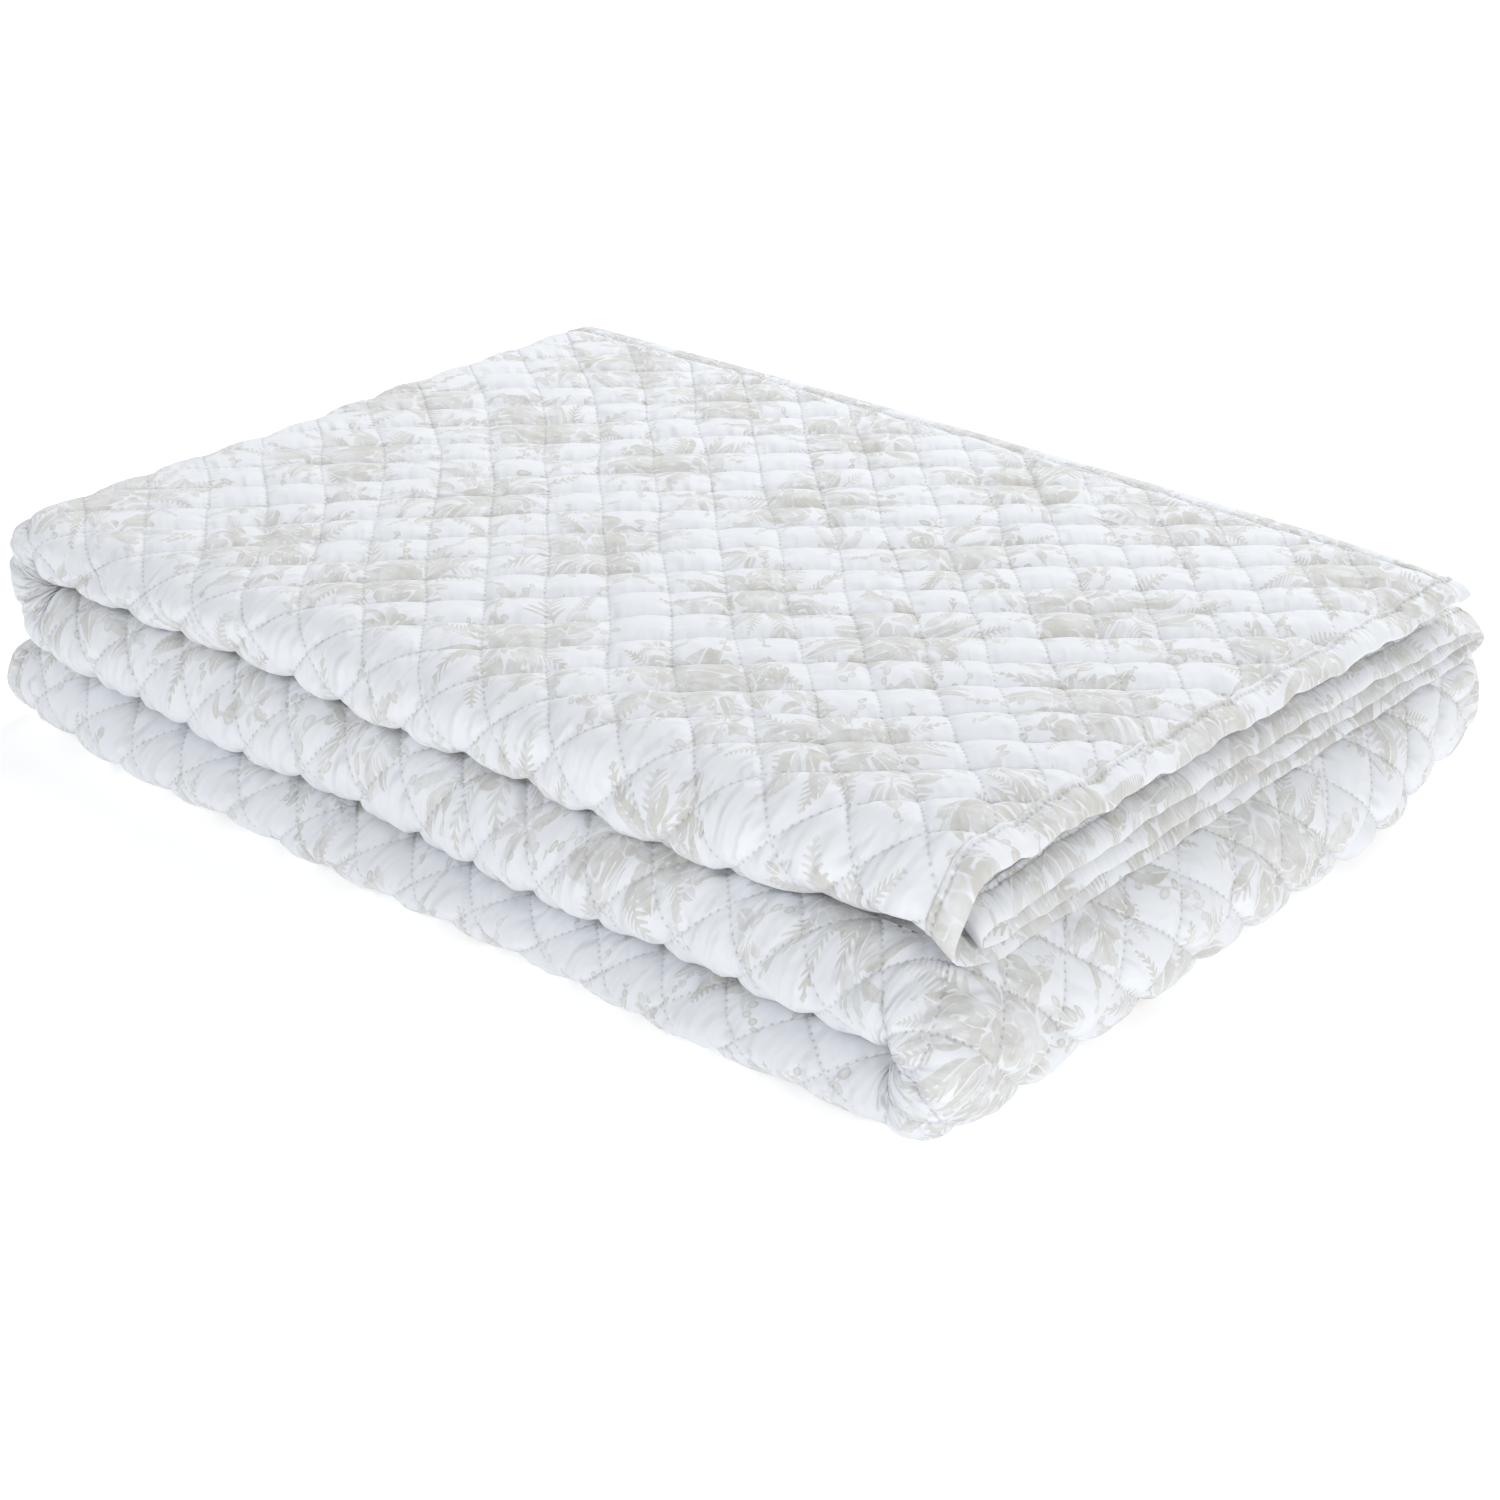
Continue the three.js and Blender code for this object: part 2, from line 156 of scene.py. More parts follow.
def alongStack(row, height):
    gap = fold["sectionGap"]
    depth = gap + height * (1 - 2 * gap)
    power = 2 / fold["squareness"]

    def around(foldRows, turnX, reach, centre, radius):
        angle = np.pi * np.clip((row - foldRows[0]) / foldLength, 0, 1)
        out = np.maximum(np.sin(angle), 0) ** power
        up = np.sign(np.cos(angle)) * np.abs(np.cos(angle)) ** power
        return turnX + reach * radius * out, centre + radius * up

    leftX, leftLevel = around(leftFold, leftTurn, -fold["leftReach"], 2, depth)
    rightX, rightLevel = around(rightFold, rightTurn, fold["rightReach"], 1, 1 - depth)
    places = [row <= leftFold[0], row < leftFold[1], row <= rightFold[0], row < rightFold[1]]
    x = np.select(places, [fold["topEnd"] - row, leftX, leftTurn + row - leftFold[1], rightX],
                  rightTurn - (row - rightFold[1]))
    level = np.select(places, [2 + depth, leftLevel, 2 - depth, rightLevel], depth)
    return x, level


def realHeight(x, y, level):
    t = np.clip((x / fold["halfLength"] + 1) / 2, 0, 1)
    back = (y - fold["frontY"]) / (fold["backY"] - fold["frontY"])
    heights = [np.zeros_like(x)]
    for face in faceHeights:
        heights.append(lerp(throughThree(*face[:3], t), throughThree(*face[3:], t), back))
    marks = [fold["sectionGap"], 1, 2, 3 - fold["sectionGap"]]
    shares = [lerp(heights[i], heights[i + 1], (level - marks[i]) / (marks[i + 1] - marks[i]))
              for i in range(3)]
    return np.select([level < marks[1], level < marks[2]], shares[:2], shares[2])


def settle(x, y, level, row):
    onTopSection = row < (leftFold[0] + leftFold[1]) / 2
    aboveBottom = row < (rightFold[0] + rightFold[1]) / 2
    back = np.clip((y - fold["frontY"]) / (fold["backY"] - fold["frontY"]), 0, 1)
    across = np.clip((x / fold["halfLength"] + 1) / 2, 0, 1)
    nearFront = 1 - smooth(y, fold["frontY"], 0)
    sag = 1 - (1 - endDroop["topShare"]) * np.clip(level - 2, 0, 1)
    out = np.clip((x - rightTurn) / fold["rightReach"], 0, 1)
    shoulder = 1 - (1 - out ** fold["squareness"]) ** (1 / fold["squareness"])
    droop = lerp(endDroop["front"], endDroop["back"], back) * shoulder * sag * onTopSection
    low = 1 - smooth(level, foldBulge["low"], foldBulge["high"])
    bulge = foldBulge["size"] * low * smooth(x, foldBulge["from"], fold["halfLength"])
    bulge = bulge * (1 - foldBulge["backShare"] * smooth(y, foldBulge["backFrom"], fold["backY"]))
    lean = leftLean["size"] * smooth(-x, leftLean["from"], fold["halfLength"]) * aboveBottom
    lean = lean * np.clip(level - 2, -1, 1)
    place = np.clip(level - 0.5, 0, 2)
    fronts = [throughThree(*roll, across) for roll in rollFronts]
    front = np.where(place < 1, lerp(fronts[0], fronts[1], place), lerp(fronts[1], fronts[2], place - 1))
    nearEnd = smooth(x, rollEnd["from"], fold["halfLength"]) * onTopSection
    tuck = rollEnd["back"] + rollEnd["above"] * smooth(level, 2 + rollEnd["shoulder"], 3)
    tuck = nearEnd * (tuck + rollEnd["below"] * (1 - smooth(level, 2, 2 + rollEnd["lip"])))
    depth = np.clip(level - 2, 0, 1)
    sink = nearEnd * rollEnd["sink"] * np.sin(np.pi * depth) * depth
    turn = level * frontWave["turn"]
    wave = frontWave["size"] * np.sin(2 * np.pi * x / frontWave["length"] + turn)
    wave = wave + frontWave["secondSize"] * np.sin(2 * np.pi * x / frontWave["secondLength"] - 2 * turn)
    return x + bulge - lean, y + (front + wave + tuck) * nearFront, level - droop - sink


def foldedPoints(along, row, offset):
    # places on the folded cloth, in metres, from the distance along the strip, the row and the
    # distance from the cloth's middle towards its outer face, all in millimetres
    along, row, offset = np.broadcast_arrays(*(np.asarray(v, float) for v in (along, row, offset)))
    fromEnd = np.minimum(row, rowTotal - row)
    for length, share in zip(endRumple["lengths"], endRumple["shares"]):
        nearby = endRumple["size"] * share * (1 - smooth(fromEnd, 0, endRumple["reach"]))
        offset = offset + nearby * np.sin(2 * np.pi * along / length + fromEnd / length)
    y, height, outY, outHeight = stripPlace(along)
    x, level = alongStack(row, height + outHeight * offset / fold["stripHeight"])
    x, y, level = settle(x, y + outY * offset, level, row)
    z = np.maximum(realHeight(x, y, level), 0)
    shiftX, shiftY = fold["centreShift"]
    return np.stack([x + shiftX, y + shiftY, z], -1) / 1000


# The quilted cloth's relief
quilt = {
    "fine": 8,  # mesh steps in half a diamond on the faces that show
    "pillowRise": 6.6,
    "pillowRoundness": 3.0,
    "rollPress": 0.36,  # the padding is pressed flatter on the front rolls
    "pillowSpread": 0.28,  # how much one diamond's height differs from the next
    "lineWander": 1.6,  # how far the stitch lines stray
    "softWave": 1.2,
    "softWaveLength": 210.0,
    "wrinkle": 0.35,
    "wrinkleLength": 17.0,
    "flatLines": 0.62,  # on top one set of stitch lines is pulled less deep
    "edgeFade": 15.0,
    "rollDrag": 0.55,  # soft folds that run down the rolls
    "sideDrag": 0.8,
    "leftPress": (0.5, 45.0),  # how much flatter the left fold's padding is, and from how far off
    "rollReach": (0.6, 1.6),  # shares of a roll's half width between which it meets the top
    "wanderLengths": (160.0, 140.0),
    "creaseBend": 0.12,  # a crease is never quite straight
}
# soft folds that pull the cloth between its stitch lines, in millimetres
drag = {
    "lengths": (13.5, 22.0),
    "sway": (19.0, 23.0),
    "fade": (41.0, 57.0, 67.0, 31.0),
}
# soft troughs and ridges: along and row at each end, width and height
creases = [
    (546, 1630, 558, 1684, 4.0, -3.6),  # the pinch where the middle and bottom rolls part at the right fold
    (572, 1640, 574, 1704, 8.0, 2.0),
    (588, 1652, 596, 1716, 6.0, -1.4),
    (548, 640, 556, 716, 7.0, -2.2),  # the top roll's left end
    (536, 690, 552, 772, 6.0, 1.8),
    (566, 650, 570, 740, 7.0, 1.6),
    (560, 836, 572, 900, 6.0, -2.0),
]


def noiseWave(along, row, length, seed):
    # a smooth uneven surface between about -1 and 1, the same on each run
    rng = np.random.default_rng(seed)
    total = 0
    for _ in range(6):
        angle, phase, scale = rng.uniform(0, np.pi), rng.uniform(0, 2 * np.pi), rng.uniform(0.7, 1.4)
        run = along * np.cos(angle) + row * np.sin(angle)
        total = total + np.sin(run * 2 * np.pi * scale / length + phase)
    return total / 3


def diamondPlace(along, row):
    return ((along + row - fold["firstRow"]) / (2 * rowStep), (along - row + fold["firstRow"]) / (2 * rowStep))


def pillow(along, row, firstDepth=1.0):
    first, second = diamondPlace(along, row)
    rise = 1
    for value, depth in ((first, firstDepth), (second, 1.0)):
        rise = rise * (1 - depth * np.abs(2 * (value - np.floor(value)) - 1) ** quilt["pillowRoundness"])
    spread = np.sin(np.floor(first) * 127.1 + np.floor(second) * 311.7) * 43758.5453
    return rise * (1 + quilt["pillowSpread"] * (spread - np.floor(spread) - 0.6))


def edgeShare(along, row):
    # 0 at the cloth's edges and 1 away from them
    fade = quilt["edgeFade"]
    return (smooth(row, 0, fade) * (1 - smooth(row, rowTotal - fade, rowTotal))
            * smooth(along, 0, fade) * (1 - smooth(along, stripTotal - fade, stripTotal)))


def openness(along, row):
    # how much of the padding shows: pressed faces stay flat
    marks, fade = strip["marks"], fold["edgeFade"]
    onRoll = 1 - smooth(np.abs(along - rollMiddle) / rollHalf, *fold["rollOpen"])
    onTopLayer = 1 - smooth(along, rollMiddle, rollMiddle + 1)
    onBottomLayer = smooth(along, rollMiddle - 1, rollMiddle) * (1 - smooth(along, marks[3], marks[3] + fade))
    topOpen = 1 - smooth(row, leftFold[1] - fade, leftFold[1])
    shoulder = rightFold[0] + fade
    rightOpen = smooth(row, shoulder, shoulder + fold["shoulderFade"])
    rightOpen = rightOpen * (1 - smooth(row, rightFold[1] - fade, rightFold[1]))
    open = np.maximum(onRoll, np.maximum(onTopLayer * topOpen, onBottomLayer * rightOpen))
    return open * edgeShare(along, row)


def creaseRelief(along, row):
    total = np.zeros(np.broadcast(along, row).shape)
    for startAlong, startRow, endAlong, endRow, width, height in creases:
        runAlong, runRow = endAlong - startAlong, endRow - startRow
        length = math.hypot(runAlong, runRow)
        t = ((along - startAlong) * runAlong + (row - startRow) * runRow) / length ** 2
        aside = ((along - startAlong) * runRow - (row - startRow) * runAlong) / length
        aside = aside + quilt["creaseBend"] * length * (t - 0.5) ** 2
        total = total + height * np.exp(-(aside / width) ** 2) * smooth(t, -0.15, 0.3) * (1 - smooth(t, 0.7, 1.15))
    return total


def dragLines(across, down):
    # uneven soft folds side by side, that run down and slowly change
    short, long = drag["lengths"]
    shortSway, longSway = drag["sway"]
    fade = drag["fade"]
    first = np.sin(2 * np.pi * across / short + 1.3 * np.sin(down / shortSway))
    first = first * np.sin(across / fade[0] + down / fade[1])
    second = np.sin(2 * np.pi * across / long + 2 + np.sin(down / longSway))
    second = second * np.cos(across / fade[2] - down / fade[3])
    return (first + second) / 1.6


def clothPoints(along, row, side):
    # a point on the outer face, side 1, or the inner face, side -1
    along, row = np.broadcast_arrays(np.asarray(along, float), np.asarray(row, float))
    free = edgeShare(along, row)
    lengths = quilt["wanderLengths"]
    wandered = along + quilt["lineWander"] * free * noiseWave(along, row, lengths[0], 3)
    wanderedRow = row + quilt["lineWander"] * free * noiseWave(along, row, lengths[1], 4)
    open = openness(along, row)
    shared = open * quilt["softWave"] * noiseWave(along, row, quilt["softWaveLength"], 5)
    offset = side * fold["flatHalf"] + shared
    if side > 0:
        onRoll = 1 - smooth(np.abs(along - rollMiddle) / rollHalf, *quilt["rollReach"])
        onTop = (1 - onRoll) * (along < rollMiddle)
        onSide = smooth(row, rightFold[0], rightFold[0] + fold["shoulderFade"]) * (row < rightFold[1])
        press, reach = quilt["leftPress"]
        onLeft = smooth(row, leftFold[0] - reach, leftFold[0]) * (1 - smooth(row, leftFold[1], leftFold[1] + reach))
        rise = quilt["pillowRise"] * (1 - quilt["rollPress"] * onRoll) * (1 - press * onLeft * (1 - onRoll))
        offset = offset + rise * pillow(along, row, 1 - quilt["flatLines"] * onTop) * open
        offset = offset + open * quilt["rollDrag"] * onRoll * dragLines(row, along)
        offset = offset + open * quilt["sideDrag"] * onSide * (1 - onRoll) * dragLines(along, row)
        wrinkles = noiseWave(along, row, quilt["wrinkleLength"], 6) * pillow(along, row)
        offset = offset + open * quilt["wrinkle"] * wrinkles
        offset = offset + creaseRelief(along, row) * open
    return foldedPoints(wandered, wanderedRow, offset)


# Rows of a line of points, in steps of half a diamond: from the bound end to the first corners, then
# the top section, left fold, middle section, right fold and bottom section
fine = 1 / quilt["fine"]
rowSteps = {
    "topLayer": (fine, fine, fine, 3, 1.5, 3),
    "roll": (fine,) * 6,
    "bottomLayer": (0.25, 3, 1, 3, fine, 3),
    "backFold": (0.25,) * 6,
    "hidden": (0.25, 3, 1, 3, 1, 3),
}


def rowList(kind):
    starts = [0, fold["firstRow"], leftFold[0], leftFold[1], rightFold[0], rightFold[1]]
    ends = starts[1:] + [rowTotal]
    rows = []
    for start, end, step in zip(starts, ends, rowSteps[kind]):
        size = step * rowStep
        count = max(int((end - start) / size + 0.6), 1)
        even = size * count < end - start + 1e-6 or step < 1
        rows.append(start + size * np.arange(count) if even else np.linspace(start, end, count + 1)[:-1])
    rows = np.concatenate(rows + [[rowTotal]])
    keep = np.concatenate([np.diff(rows) > 0.3 * fine * rowStep, [True]])
    return rows[keep]


rowLists = {kind: rowList(kind) for kind in rowSteps}
hiddenStep = {"run": 18.0, "turnParts": 12, "pastBackFold": 20.0}  # coarser steps where no padding shows


def hiddenPlaces(firstMark):
    places = []
    marks = strip["marks"]
    for i in range(firstMark, len(marks) - 1):
        parts = hiddenStep["turnParts"] if i % 2 else max(int((marks[i + 1] - marks[i]) / hiddenStep["run"]), 1)
        places.extend(np.linspace(marks[i], marks[i + 1], parts + 1)[:-1])
    return places


def quiltLines():
    marks = strip["marks"]
    rollStart = int(marks[1] // rowStep) * quilt["fine"]
    rollStop = math.ceil(marks[2] / rowStep) * quilt["fine"] + 1
    bottomStop = int(marks[3] // rowStep) * quilt["fine"] + 1
    stretches = ((0, rollStart, "topLayer"), (rollStart, rollStop, "roll"), (rollStop, bottomStop, "bottomLayer"))
    outer = [(i * (rowStep * fine), kind) for start, stop, kind in stretches for i in range(start, stop)]
    outer += [(along, "backFold" if along < marks[4] + hiddenStep["pastBackFold"] else "hidden")
              for along in hiddenPlaces(3)]
    inner = [(along, "hidden") for along in hiddenPlaces(0)]
    return outer + [(stripTotal, "hidden")], inner + [(stripTotal, "hidden")]


class ClothMesh:
    # gathers points with their place on the flat cloth, and triangles
    def __init__(self):
        self.points, self.plans, self.triangles, self.count = [], [], [], 0

    def add(self, points, plan):
        self.points.append(points)
        self.plans.append(plan)
        ids = np.arange(self.count, self.count + len(points))
        self.count += len(points)
        return ids

    def face(self, lines, side):
        made = []
        for along, kind in lines:
            rows = rowLists[kind]
            plan = np.stack([np.full(len(rows), along), rows], -1)
            points = clothPoints(plan[:, 0], plan[:, 1], side)
            made.append((along, kind, rows, points, self.add(points, plan)))
        for one, two in zip(made, made[1:]):
            if one[1] == two[1]:
                self.fillEven(one, two, side)
            else:
                self.fillZip(one[2], one[4], two[2], two[4], side)
        return made

    def fillEven(self, one, two, side):
        rows, a, b = one[2], one[4], two[4]
        middle = clothPoints((one[0] + two[0]) / 2, (rows[:-1] + rows[1:]) / 2, side)
        throughA = np.linalg.norm((one[3][1:] + two[3][:-1]) / 2 - middle, axis=1)
        throughB = np.linalg.norm((one[3][:-1] + two[3][1:]) / 2 - middle, axis=1)
        pick = (throughA < throughB)[:, None]
        corner = {"a": a[:-1], "A": a[1:], "b": b[:-1], "B": b[1:]}
        triangle = lambda names: np.stack([corner[name] for name in names], -1)
        both = np.concatenate([np.where(pick, triangle("aAb"), triangle("aBb")),
                               np.where(pick, triangle("ABb"), triangle("aAB"))])
        self.triangles.append(both if side > 0 else both[:, ::-1])

    def fillZip(self, placesA, idsA, placesB, idsB, side):
        i = j = 0
        made = []
        while i < len(idsA) - 1 or j < len(idsB) - 1:
            nextA = placesA[i + 1] if i < len(idsA) - 1 else np.inf
            nextB = placesB[j + 1] if j < len(idsB) - 1 else np.inf
            if nextA <= nextB:
                made.append((idsA[i], idsA[i + 1], idsB[j]))
                i += 1
            else:
                made.append((idsA[i], idsB[j + 1], idsB[j]))
                j += 1
        made = np.array(made)
        self.triangles.append(made if side > 0 else made[:, ::-1])

    def build(self, name):
        points, plans = np.concatenate(self.points), np.concatenate(self.plans)
        return meshObject(name, points, np.concatenate(self.triangles), plans)


def intoScene(name, data):
    obj = bpy.data.objects.new(name, data)
    bpy.context.scene.collection.objects.link(obj)
    return obj


def feed(tree, place, value):
    # links what a node gives to a socket, or sets a plain value there
    value = getattr(value, "socket", value)
    if isinstance(value, bpy.types.NodeSocket):
        tree.links.new(value, place)
    else:
        place.default_value = value


def addNode(tree, kind, inputs=None, **settings):
    node = tree.nodes.new(kind)
    for name, value in settings.items():
        setattr(node, name, value)
    for label, value in (inputs or {}).items():
        feed(tree, node.inputs[label], value)
    return node


def meshObject(name, points, faces, plans):
    # the plan is each point's place on the flat cloth, kept as the piece's UV map in metres
    mesh = bpy.data.meshes.new(name)
    mesh.vertices.add(len(points))
    mesh.vertices.foreach_set("co", np.asarray(points, np.float32).ravel())
    faces = np.asarray(faces, np.int32)
    mesh.loops.add(faces.size)
    mesh.loops.foreach_set("vertex_index", faces.ravel())
    mesh.polygons.add(len(faces))
    mesh.polygons.foreach_set("loop_start", np.arange(0, faces.size, faces.shape[1], dtype=np.int32))
    mesh.polygons.foreach_set("use_smooth", np.ones(len(faces), bool))
    mesh.update(calc_edges=True)
    mesh.validate()
    layer = mesh.uv_layers.new(name="clothPlan")
    layer.data.foreach_set("uv", (np.asarray(plans)[faces.ravel()] / 1000).astype(np.float32).ravel())
    return intoScene(name, mesh)


def makeQuilt():
    outerList, innerList = quiltLines()
    cloth = ClothMesh()
    outer, inner = cloth.face(outerList, 1), cloth.face(innerList, -1)
    cloth.fillZip(outer[0][2], outer[0][4], inner[0][2], inner[0][4], -1)
    cloth.fillZip(outer[-1][2], outer[-1][4], inner[-1][2], inner[-1][4], 1)
    for end, side in ((0, 1), (-1, -1)):
        rims = [([line[0] for line in lines], np.array([line[4][end] for line in lines]))
                for lines in (outer, inner)]
        cloth.fillZip(*rims[0], *rims[1], side)
    return cloth.build("quilted_bedspread")


quiltObject = makeQuilt()
print("quilted cloth:", len(quiltObject.data.polygons), "faces")

# The binding, a folded strip over each raw edge, in millimetres
binding = {
    "step": 5.0,
    "pucker": 0.5,
    "puckerLength": 11.0,
    # where each strip was cut from the printed cloth
    "printShift": {"bound_top_end": 60.0, "bound_bottom_end": 300.0,
                   "bound_upper_edge": 180.0, "bound_lower_edge": 420.0},
    "tipReach": 3.0,  # the free ends are rounded off over this length, down to a share of the thickness
    "tipShare": 0.1,
    "tipPlaces": (0.3, 1.2, 2.8),
    "puckerCentre": 3.0,
    "puckerReach": 7.0,
    # distance past the cloth's edge and half the thickness there
    "profile": [(-2.0, 2.65), (-1.85, 3.3), (-0.9, 3.6), (0.6, 3.1), (1.6, 2.45), (3.0, 2.9), (5.5, 3.2), (9.0, 3.1),
                (12.0, 2.6), (13.8, 1.8), (14.7, 0.9), (15.0, 0.25)],
}


def bindingRing():
    # the strip's section as a closed loop: out along the outer face and back along the inner one
    profile = np.array(binding["profile"])
    return np.concatenate([profile, profile[::-1] * (1, -1)])


def makeBinding(name, isEnd, isFirst):
    ring = bindingRing()
    width = fold["bindingWidth"]
    low, high = (-width, stripTotal + width) if isEnd else (0.0, rowTotal)
    count = int((high - low) / binding["step"])
    places = np.linspace(low, high, count + 1)
    if isEnd:
        tips = np.array(binding["tipPlaces"])
        places = np.unique(np.concatenate([places, low + tips, high - tips]))
    edge = 0 if isFirst else (rowTotal if isEnd else stripTotal)
    outward = -1 if isFirst else 1
    place, distance = np.meshgrid(places, ring[:, 0], indexing="ij")
    half = np.broadcast_to(ring[:, 1], place.shape).copy()
    pucker = noiseWave(place, distance * 0.4, binding["puckerLength"], 11 + isEnd + 2 * isFirst)
    half += np.sign(half) * binding["pucker"] * pucker * smooth(
        -np.abs(distance - binding["puckerCentre"]), -binding["puckerReach"], 0)
    if isEnd:
        near = np.clip(np.minimum(place - low, high - place) / binding["tipReach"], 0, 1)
        half *= np.sqrt(near * (2 - near)) * (1 - binding["tipShare"]) + binding["tipShare"]
        points = foldedPoints(place, edge + outward * distance, half)
    else:
        points = foldedPoints(edge + outward * distance, place, half)
    plans = np.stack([distance + binding["printShift"][name], place], -1)
    n, k = place.shape
    ids = np.arange(n * k).reshape(n, k)
    a, b = ids[:-1], ids[1:]
    turned = isEnd != isFirst
    quads = np.stack([a, b, np.roll(b, -1, 1), np.roll(a, -1, 1)], -1).reshape(-1, 4)
    if turned:
        quads = quads[:, ::-1]
    # flat caps: quads between the outer and the inner half of the ring
    caps = []
    for line, flip in ((ids[0], False), (ids[-1], True)):
        outerHalf, innerHalf = line[: k // 2], line[k // 2:][::-1]
        cap = np.stack([outerHalf[:-1], outerHalf[1:], innerHalf[1:], innerHalf[:-1]], -1)
        caps.append(cap[:, ::-1] if flip != turned else cap)
    return meshObject(name, points.reshape(-1, 3), np.concatenate([quads] + caps), plans.reshape(-1, 2))


bindings = {
    "binding_top_end": makeBinding("bound_top_end", True, True),
    "binding_bottom_end": makeBinding("bound_bottom_end", True, False),
    "binding_upper_edge": makeBinding("bound_upper_edge", False, True),
    "binding_lower_edge": makeBinding("bound_lower_edge", False, False),
}
print("bindings made")

# Stitches along the quilting lines and along the inner side of the binding, in metres
stitch = {
    "spacing": 0.0046,
    "length": 0.0031,
    "width": 0.00062,
    "height": 0.00042,
    "scatter": 0.18,  # how much longer or shorter one stitch is than the next, as a share
    "seed": 7,
}
# the rows that the stitches follow, in millimetres
seam = {
    "guideStep": 3.0,
    "lift": 0.1,  # above the groove
    "margin": 2.5,  # a quilting line stops this far from the cloth's edge
    "pastBack": 12.0,  # and this far past the back fold's start
    "openEnough": 0.12,
    "shortest": 5,  # points on a line that is worth sewing
    "topUntil": 30.0,  # a line belongs to the top up to this far before the roll's middle
    "bindingInset": 1.6,
    "bindingHalf": 2.42,
    "bindingLift": 0.15,
    "bindingStep": 4.0,
}


def makeStitchTree():
    # lays short thread loops on lines that carry the direction in which the cloth faces
    tree = bpy.data.node_groups.new("layStitches", "GeometryNodeTree")
    newSocket = tree.interface.new_socket
    for direction in ("INPUT", "OUTPUT"):
        newSocket(name="Geometry", in_out=direction, socket_type="NodeSocketGeometry")
    ids = {name: newSocket(name=name, in_out="INPUT", socket_type="NodeSocket" + kind).identifier
           for name, kind in (("Spacing", "Float"), ("Size", "Vector"), ("Scatter", "Float"), ("Seed", "Int"),
                              ("Thread", "Material"))}
    given = addNode(tree, "NodeGroupInput").outputs
    curve = addNode(tree, "GeometryNodeMeshToCurve", {"Mesh": given["Geometry"]})
    spaced = addNode(tree, "GeometryNodeResampleCurve",
                     {"Curve": curve.outputs["Curve"], "Length": given["Spacing"]}, mode="LENGTH")
    loop = addNode(tree, "GeometryNodeMeshIcoSphere", {"Radius": 0.5, "Subdivisions": 1})
    shape = addNode(tree, "GeometryNodeTransform", {"Geometry": loop.outputs["Mesh"], "Scale": given["Size"]})
    facing = addNode(tree, "GeometryNodeInputNamedAttribute", {"Name": "facing"}, data_type="FLOAT_VECTOR")
    tangent = addNode(tree, "GeometryNodeInputTangent")
    up = addNode(tree, "FunctionNodeAlignRotationToVector", {"Vector": facing.outputs["Attribute"]}, axis="Z")
    forward = addNode(tree, "FunctionNodeAlignRotationToVector",
                      {"Rotation": up.outputs["Rotation"], "Vector": tangent.outputs["Tangent"]},
                      axis="X", pivot_axis="Z")
    low, high = (addNode(tree, "ShaderNodeMath", {0: 1.0, 1: given["Scatter"]}, operation=operation).outputs[0]
                 for operation in ("SUBTRACT", "ADD"))
    scale = addNode(tree, "FunctionNodeRandomValue", {2: low, 3: high, "Seed": given["Seed"]}, data_type="FLOAT")
    place = addNode(tree, "GeometryNodeInstanceOnPoints", {
        "Points": spaced.outputs["Curve"], "Instance": shape.outputs["Geometry"],
        "Rotation": forward.outputs["Rotation"], "Scale": scale.outputs[1]})
    real = addNode(tree, "GeometryNodeRealizeInstances", {"Geometry": place.outputs["Instances"]})
    soft = addNode(tree, "GeometryNodeSetShadeSmooth", {"Geometry": real.outputs["Geometry"]})
    paint = addNode(tree, "GeometryNodeSetMaterial",
                    {"Geometry": soft.outputs["Geometry"], "Material": given["Thread"]})
    addNode(tree, "NodeGroupOutput", {"Geometry": paint.outputs["Geometry"]})
    return tree, ids


def faceDirection(surface, along, row):
    # the way a surface faces, from two short steps on it
    step = 1.5
    byAlong = surface(along + step, row) - surface(along - step, row)
    byRow = surface(along, row + step) - surface(along, row - step)
    facing = np.cross(byAlong, byRow)
    return facing / np.maximum(np.linalg.norm(facing, axis=-1, keepdims=True), 1e-12)


def stitchShows(along, row):
    onEdge = (np.minimum(along, row) < fold["edgeFade"]) & (row < leftFold[0])
    return (openness(along, row) > seam["openEnough"]) | (onEdge & (along < strip["marks"][2]))


def quiltingLines():
    # every stretch of the two families of stitch lines that lies on an open face
    lines = []
    margin = seam["margin"]
    reach = int(math.ceil((stripTotal + rowTotal) / (2 * rowStep)))
    along = np.arange(0, stripTotal, seam["guideStep"] / math.sqrt(2))
    for family in (1, -1):
        for index in range(-reach, reach):
            row = fold["firstRow"] + 2 * rowStep * index - family * along
            inside = (row > margin) & (row < rowTotal - margin)
            inside &= (along > margin) & (along < strip["marks"][3] + seam["pastBack"])
            shows = np.zeros(len(along), bool)
            shows[inside] = stitchShows(along[inside], row[inside])
            edges = np.flatnonzero(np.diff(np.concatenate([[0], shows.astype(int), [0]])))
            lines += [(along[first:last], row[first:last]) for first, last in zip(edges[::2], edges[1::2])
                      if last - first > seam["shortest"]]
    return lines


